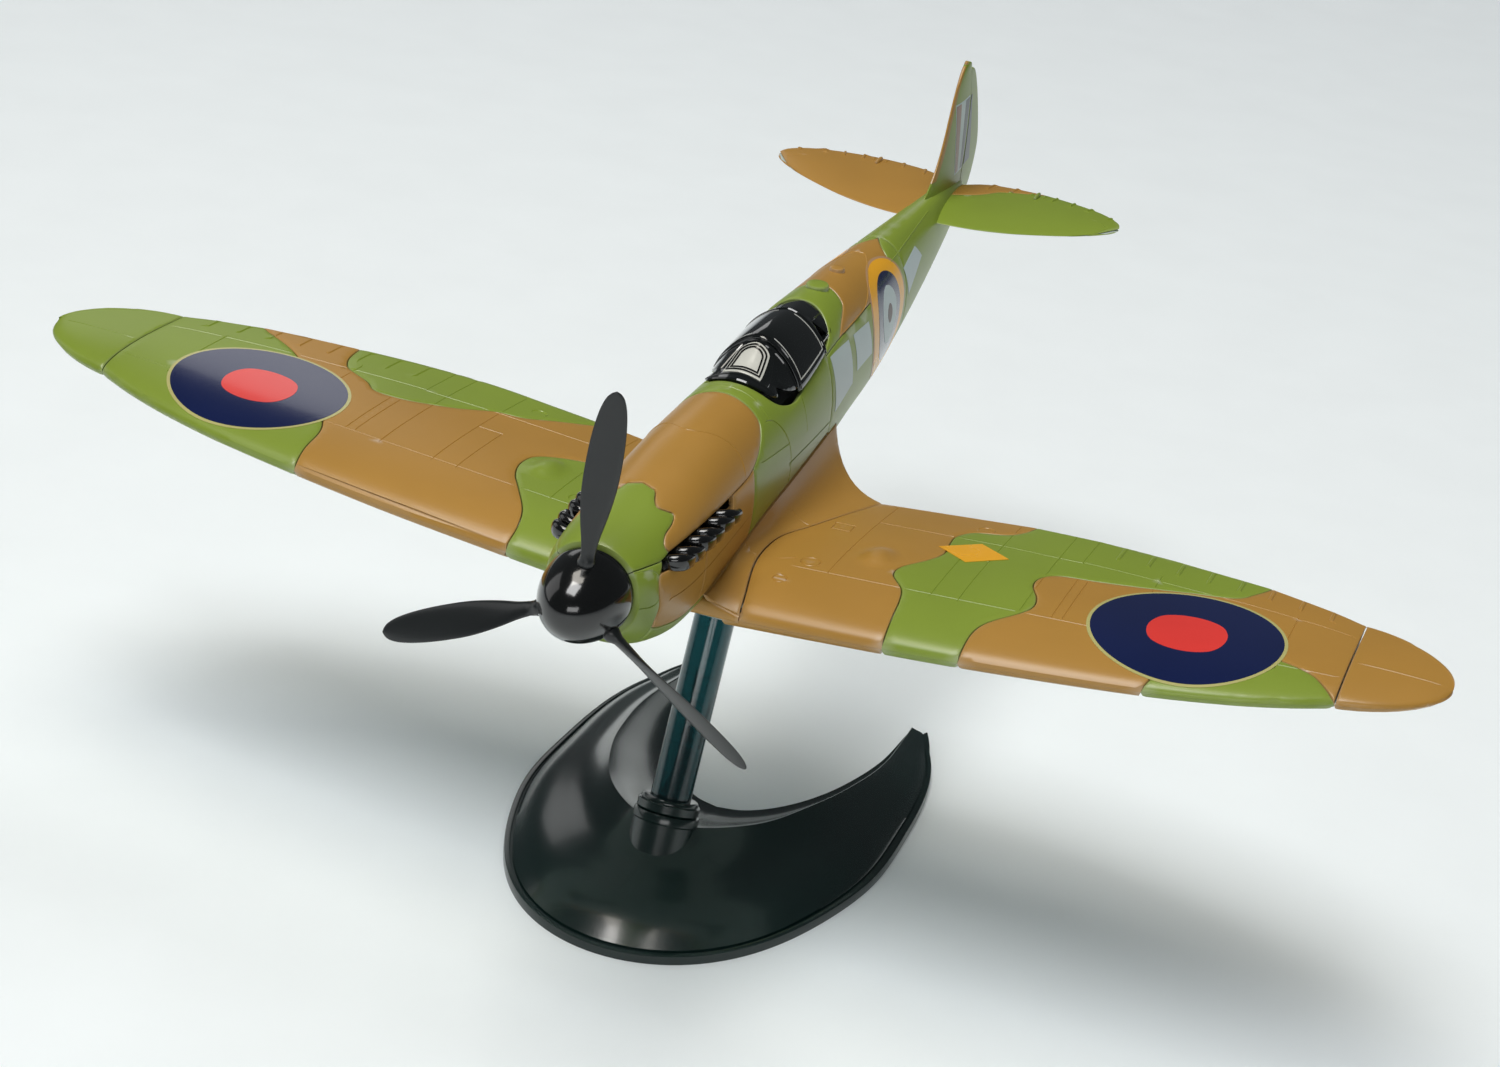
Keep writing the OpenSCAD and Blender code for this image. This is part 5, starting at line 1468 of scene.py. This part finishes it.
def add_tailplanes():
    """Both tailplanes with their trim horns, the port one with a brown patch at its root."""
    root, end = 1.4, TAIL_TIP - 0.02

    def line(share, a, b, n=40):
        return along_share(share, a, b, n)

    def up(x, a, b, n=24):
        return np.column_stack([np.full(n, float(x)), np.linspace(a, b, n)])

    whole = closed_line(line(0, root, end), up(end, 0, 1, 6), line(1, end, root), up(root, 1, 0))
    patch_line = curve([[1.4, 0.6], [4, 0.62], [6.4, 0.655], [8.3, 0.73], [10, 0.82], [12.6, 0.87],
                        [16, 0.93], [18.6, 0.985], [19, 1.0]])
    patch_line[:, 1] = tail_spots(patch_line)[:, 1]
    split = patch_line[0][1]
    main = closed_line(line(0, root, end), up(end, 0, 1, 6), line(1, end, 19), patch_line[::-1],
                       up(root, split, 0, 14))
    patch = closed_line(patch_line, line(1, 19, root, 20), up(root, 1, split, 10))
    top, under = tail_surface(True), tail_surface(False)
    marks = tail_grooves()
    panel("port_tailplane_skin", top, main, GREEN, "wing_green", replaces=["port_tailplane"], grooves=marks,
          pin=at_tail_edge, step=0.9, roll=0.7)
    panel("port_tailplane_patch", top, patch, BROWN, "wing_brown", grooves=marks, pin=at_tail_edge, step=0.9,
          roll=0.7)
    panel("port_tailplane_under", under, whole, SKY, "underside", pin=at_tail_edge, step=1.6)
    panel("starboard_tailplane_skin", top.mirrored(), whole, BROWN, "wing_brown",
          replaces=["starboard_tailplane"], grooves=marks, pin=at_tail_edge, step=0.9)
    panel("starboard_tailplane_under", under.mirrored(), whole, SKY, "underside", pin=at_tail_edge, step=1.6)
    for side_name, way in SIDES:
        paint, slot = (GREEN, "wing_green") if way == 1 else (BROWN, "wing_brown")
        ovoid(f"{side_name}_trim_horn", paint, slot, way * 17.8, TAIL_Z + 0.75, (189.6, 193.8), 0.5, 0.75,
              0.12)


def upright_half(y, z):
    """Half thickness of the fin and rudder together, at y and z."""
    front, rear = smooth(FIN_ROWS, z)[:, 1], smooth(RUDDER_ROWS, z)[:, 2]
    return lens_half((y - front) / (rear - front), mix(2.5, 1.1, np.clip((z - 9) / 28, 0, 1)))


def upright_ring(z, front, rear, a, b, grow=0.0):
    """Closed section of the fin or rudder between two shares of its own chord."""
    n = 30
    y = mix(front, rear, a + (b - a) * (1 - np.cos(np.linspace(0, math.pi, n))) / 2)
    half = upright_half(y, np.full(n, z)) + grow + 0.02
    right = np.column_stack([half, y - grow, np.full(n, z)])
    return np.vstack([right, (right * [-1, 1, 1])[::-1]])


def fin_side(uv, wall=0.0):
    """Port face of the fin and rudder at y and z."""
    return np.column_stack([upright_half(uv[:, 0], uv[:, 1]) - wall, uv])


def add_fin():
    """Fin and rudder, the fin's leading edge and lamp, and the striped panel on both faces."""
    z = np.unique(np.concatenate([np.linspace(9, 35, 46), np.linspace(35, 36.9, 12)]))
    rows = smooth(FIN_ROWS, z)
    loft("fin_blade", [upright_ring(*row, 0, 1) for row in rows], GREEN, "wing_green", replaces=["fin"])
    loft("fin_edge", [upright_ring(*row, 0, 0.1, 0.07) for row in rows[10:-3]], BROWN, "wing_brown")
    z = np.unique(np.concatenate([np.linspace(4.6, 7, 12), np.linspace(7, 33, 46),
                                  np.linspace(33, 34.6, 10)]))
    loft("rudder_blade", [upright_ring(*row, 0, 1) for row in smooth(RUDDER_ROWS, z)], GREEN, "wing_green",
         replaces=["rudder"])
    ovoid("fin_lamp", BROWN, "wing_brown", 0, 36.75, (185.2, 186.8), 0.42, 0.45, 0.08)
    face = Surface(fin_side, lambda uv: fin_side(uv, 0.3), (1, 1))
    high, low = 28.6, 13.2
    # Edges of each bar at the top and at the bottom
    bars = {0: (ROSE_FILM, 181.3, 183.9, 184.5, 186.1), 1: (PALE, 183.9, 186.6, 186.1, 187.7),
            2: (SLATE, 186.6, 189.6, 187.7, 189.6), 4: (SLATE, 190.95, 191.7, 190.95, 195.6)}
    frame_line = polyline((180.9, 29), (189.9, 29), (189.9, 12.8), (184.1, 12.8), (180.9, 29), step=0.7)[:-1]
    for side_name, way in SIDES:
        film(f"{side_name}_fin_frame", face.on(way), 0.05, 0.04, frame_line, PALE, 1)
        for number, (paint, top_front, top_rear, low_front, low_rear) in bars.items():
            bar = [(top_front, high), (top_rear, high), (low_rear, low), (low_front, low)]
            outline = polyline(*bar, bar[0], step=0.8)[:-1]
            film(f"{side_name}_fin_bar_{number}", face.on(way), 0.09, 0.05, outline, paint, 1)


# ---- Side films -----------------------------------------------------------------------

RING_AT, DEGREE = (124.6, 74.0), 0.207


def add_side_films():
    """Round films and plain blocks along both sides of the fuselage."""
    blocks = [[(87.4, 53.5), (98, 57), (99.2, 88), (88.4, 91)],
              [(101, 57.5), (110.6, 60.5), (112, 86), (102, 84)],
              [(137.6, 54), (148, 47.5), (151.4, 66), (140, 84)]]
    discs = [("edge", 11.7, 2, 0.05, TAN_FILM), ("amber", 11.0, 2, 0.08, AMBER), ("navy", 7.8, 2, 0.11, NAVY),
             ("pale", 4.9, 1.75, 0.14, PALE), ("dot", 1.6, 1.75, 0.17, DOT)]
    for side_name, way in SIDES:
        for part, r, power, lift, paint in discs:
            outline = ring(RING_AT, (r, r / DEGREE), 84, power)
            film(f"{side_name}_ring_{part}", FUSELAGE.on(way), lift, 0.05, outline, paint, 1.1)
        for number, corners in enumerate(blocks):
            outline = polyline(*corners, corners[0], step=0.8, scale=(1, 0.2))[:-1]
            film(f"{side_name}_block_{number}", FUSELAGE.on(way), 0.06, 0.05, outline, PALE, 1.2)


# ---- Stand ----------------------------------------------------------------------------

STAND_MID, HORN_A, CREST_H = 29.0, 154.0, 13.3
# Angle from the front, x and y of the crest's line and its share of the full height; then the inner foot
CREST_LINE = [[0, 0, 3.4, 1], [30, 7.5, 6.3, 0.96], [60, 15.6, 16, 0.87], [90, 20.8, 28.8, 0.79],
              [120, 24, 44, 0.62], [140, 25.5, 61.3, 0.42], [154, 24.2, 84.3, 0.17]]
FOOT_LINE = [[0, 0, 35], [30, 5, 36.6], [60, 10.2, 41.1], [90, 15.2, 48.5], [120, 19.4, 58.6],
             [140, 22.4, 71], [154, 23.3, 84.6]]
# Share of the way from the rim to the crest, and share of its height
FRONT_SLOPE = [[0, 0], [0.15, 0.22], [0.3, 0.36], [0.5, 0.48], [0.7, 0.61], [0.85, 0.77], [1, 1]]
RIM_H, RIM_LIP, INNER_SAG, STAND_WALL = 1.8, 1.7, 2.4, 1.8
SOCKET_TOP, SOCKET_R = 15.4, 6.15
STEM_W = 7.6


def rim_r(a):
    """Radius of the rim at an angle from the front: a sum of waves, and a little more at the horns."""
    waves = (47.05, -6.97, 12.67, -1.74, 1.97)
    return sum(r * math.cos(k * a) for k, r in enumerate(waves)) + max(0, abs(math.degrees(a)) - 148) / 4


def stand_section(degrees, inside_wall):
    """One section of the stand, from its rim over the crest to the inner foot, in the model's frame."""
    a, w = math.radians(degrees), abs(degrees)
    k = 0.15 + (STAND_WALL - 0.15) * min(1, (HORN_A - w) / 24) if inside_wall else 0.0
    way = math.copysign(1, degrees)
    crest, foot = smooth(CREST_LINE, w)[0], smooth(FOOT_LINE, w)[0]
    cx, f = np.array([way * crest[1], crest[2]]), np.array([way * foot[1], foot[2]])
    high = crest[3] * CREST_H

    def rim(inset):
        r = rim_r(a) - inset
        return np.array([r * math.sin(a), STAND_MID - r * math.cos(a)])

    lip = rim(RIM_LIP + k)
    inward = (f - cx) / np.linalg.norm(f - cx)
    end = f - inward * k
    low, fade, top = RIM_H + 0.2, min(1, high / 10), RIM_H - k / 2
    drop = 0 if inside_wall else 0.12
    points = [(*rim(k), 0), (*rim(k), top - 3.7 * drop), (*rim(k + drop), top - drop),
              (*rim(k + 3.7 * drop), top), (*rim(RIM_LIP + k - 0.6), top),
              (*rim(RIM_LIP + k - 0.45), top - 2.5 * drop), (*rim(RIM_LIP + k - 0.1), top - 2.5 * drop)]
    turn_over = 0.3 / np.linalg.norm(cx - lip)
    for s in np.append(np.linspace(0, 1 - turn_over, 22), 1):
        points.append((*mix(lip, cx, s), mix(low, high, smooth(FRONT_SLOPE, s)[0, 1]) - k))
    points.append((*(cx + inward * 0.25), high - k - 0.12))
    for s in np.linspace(0, 1, 14)[1:-1]:
        p = mix(cx + inward * 0.25, end, s)
        z = (high - 0.12) * (1 - s) - INNER_SAG * fade * math.sin(math.pi * s) * s - k * (1 - s * s)
        points.append((*p, max(z, 0.1 if inside_wall else 0.3)))
    points += [(*end, 0 if inside_wall else 0.4), (*end, 0)]
    return points


def add_stand():
    """Crescent shell, the socket of the stem and the collar ring on it."""
    turn = np.linspace(-HORN_A, HORN_A, 151)
    outer = [stand_section(a, False) for a in turn]
    inner = [stand_section(a, True) for a in turn]
    shell("stand_shell", outer, inner, STAND, "stand_gloss", "stand", ["stand_base"], place=plain, sharp=38)
    boss = [(4.65, 4.2), (4.65, SOCKET_TOP - 0.25), (4.95, SOCKET_TOP), (SOCKET_R - 0.55, SOCKET_TOP),
            (SOCKET_R - 0.15, SOCKET_TOP - 0.12), (SOCKET_R, SOCKET_TOP - 0.5), (SOCKET_R, SOCKET_TOP - 1.6),
            (SOCKET_R - 0.22, SOCKET_TOP - 1.9), (SOCKET_R - 0.22, 4.2)]
    turned("stand_socket", boss, on_stem, STAND, "stand_gloss", "stand", n=120, hollow=True, place=plain)
    # Growth over the stem and height over the socket; the innermost points keep the stem's flat
    collar = [(0.0, 0.1), (0.0, 2.62), (1.0, 2.72), (1.34, 2.55), (1.5, 2.2), (1.5, 1.95), (1.78, 1.88),
              (1.92, 1.7), (1.92, 0.35), (1.75, 0.12)]
    c, s = circle(120)
    bore = STEM_W / 2 + 0.08
    rings = []
    for grow, up in collar:
        x, y = (bore + grow) * c, (bore + grow) * s
        if grow == 0:
            y = np.minimum(y, bore - 1)
        rings.append(on_stem(np.column_stack([x, y, np.full(120, SOCKET_TOP + up)])))
    tube("stem_collar_ring", rings, STAND, "stand_gloss", "stand", ["stem_collar"], place=plain)


# ---- Underside, legs and wheels -------------------------------------------------------

PIVOT = (19.0, 46.0, -14.2)
LEG_RISE, LEG_L, WHEEL_R, WHEEL_T, AXLE_R = math.radians(1), 31.0, 6.2, 2.3, 0.9
BELLY_X = 13.2
# The colours of the wings turn under the leading edge for this share of the chord
EDGE_STRIP = 0.05


def in_leg_frame(q):
    """Points of a leg's frame: origin at the pivot, X along the stowed leg."""
    c, s = math.cos(LEG_RISE), math.sin(LEG_RISE)
    return np.column_stack([c * q[:, 0] - s * q[:, 2], q[:, 1], s * q[:, 0] + c * q[:, 2]]) + PIVOT


def add_underside():
    """Lower wing skins with their wheel bays, and the colours turned under the leading edge and tip."""
    well_r, slot_half = 7.2, 3.0
    wheel_x = PIVOT[0] + LEG_L
    start = math.asin(slot_half / well_r)
    arc = [(wheel_x + well_r * math.cos(a), PIVOT[1] + well_r * math.sin(a))
           for a in np.linspace(math.pi + start, 3 * math.pi - start, 40)]
    slot = [(17.2, PIVOT[1] + slot_half), (17.2, PIVOT[1] - slot_half)]
    hole = spots(polyline(*arc, *slot, arc[0], step=1.2)[:-1])
    body = shares(closed_line(along_share(EDGE_STRIP, BELLY_X, TIP_SEAM), across_tip_seam(EDGE_STRIP, 1),
                              along_edge(1, TIP_SEAM, BELLY_X), across_tip_seam(1, EDGE_STRIP, 40, BELLY_X)))
    lines = [Groove(spots(polyline(a, b, step=1.4)), 0.13, 0.1)
             for a, b in (((60, SPAR_Y), (112, SPAR_Y + 1)), ((60, 30), (60, 83)), ((80, 31), (80, 71)),
                          ((98, 34), (98, 66)), ((38, 55), (38, 84)))]
    lines.append(Groove(spots(hinge_line()), 0.14, 0.12))
    for side_name, way in SIDES:
        lower, tip_paint = LOWER.on(way), BROWN if way == 1 else GREEN
        panel(f"{side_name}_lower_wing_skin", lower, body, SKY, "underside", grooves=lines, holes=[hole],
              replaces=[f"{side_name}_lower_wing"], pin=at_wing_edge, step=1.7)
        panel(f"{side_name}_lower_tip_skin", LOWER_TIP.on(way), tip_outline(), tip_paint, "underside",
              pin=at_wing_edge, step=1.4)
        ends = [BELLY_X, 41.5, 54.4, 84.4, TIP_SEAM] if way == 1 else [BELLY_X, 26.8, 68.8, TIP_SEAM]
        paints = [BROWN, GREEN, BROWN, GREEN] if way == 1 else [GREEN, BROWN, GREEN]
        for number, (paint, a, b) in enumerate(zip(paints, ends, ends[1:])):
            strip = shares(closed_line(along_edge(0, a, b), along_share(EDGE_STRIP, b, a)))
            panel(f"{side_name}_edge_strip_{number}", lower, strip, paint, "underside", pin=at_wing_edge,
                  step=1.2, seam=0.02, roll=0.3)


def add_wheels():
    """Tyre and dished hub of both main wheels."""
    r0 = AXLE_R + 0.07
    low, high = 1.1, 1.1 + WHEEL_T
    rim_edge = WHEEL_R - 1.9
    tyre = [(rim_edge, low + 0.3)] + [
        (rim_edge + 0.95 + 0.95 * math.sin(a), (low + high) / 2 - (WHEEL_T / 2 - 0.02) * math.cos(a))
        for a in np.linspace(0, math.pi, 15)] + [(rim_edge, high - 0.3)]
    hub = [(r0, low + 0.05), (r0 + 0.7, low + 0.05), (r0 + 0.9, low + 0.4), (rim_edge - 0.7, low + 0.45),
           (rim_edge - 0.25, low + 0.2), (rim_edge - 0.02, low + 0.25), (rim_edge - 0.02, high - 0.25),
           (rim_edge - 0.25, high - 0.12), (rim_edge - 0.6, high - 0.45), (r0 + 1.1, high - 0.5),
           (r0 + 0.8, high - 0.1), (r0, high - 0.1)]
    for side_name, way in SIDES:
        def place_leg(q, way=way):
            return in_leg_frame(q + [LEG_L, 0, 0]) * [way, 1, 1]

        turned(f"{side_name}_tyre", tyre, place_leg, RUBBER, "tyre_black", f"{side_name}_wheel_unit",
               [f"{side_name}_wheel"], n=72, hollow=True)
        turned(f"{side_name}_hub", hub, place_leg, GREY, "tyre_black", f"{side_name}_wheel_unit", n=72,
               hollow=True)


def repaint(paint, *names):
    """CAD parts whose shape is right keep it and take a moulded material."""
    for name in names:
        mesh = frame["nodes"][name].data
        mesh.materials.clear()
        mesh.materials.append(paint)


add_propeller()
add_exhausts()
add_tailplanes()
add_fin()
add_side_films()
add_stand()
add_underside()
add_wheels()
repaint(STEM, "stem")
repaint(INNER, "airframe_core", "wing_spar")
repaint(STEEL, "nose_bush", "prop_shaft", "shaft_clip", "port_gear_pin", "starboard_gear_pin")
repaint(SKY, "belly_pan", "belly_fairing", "radiator", "oil_cooler", "intake")
repaint(GREY, "port_gear_leg", "starboard_gear_leg")
repaint(RUBBER, "tail_wheel")
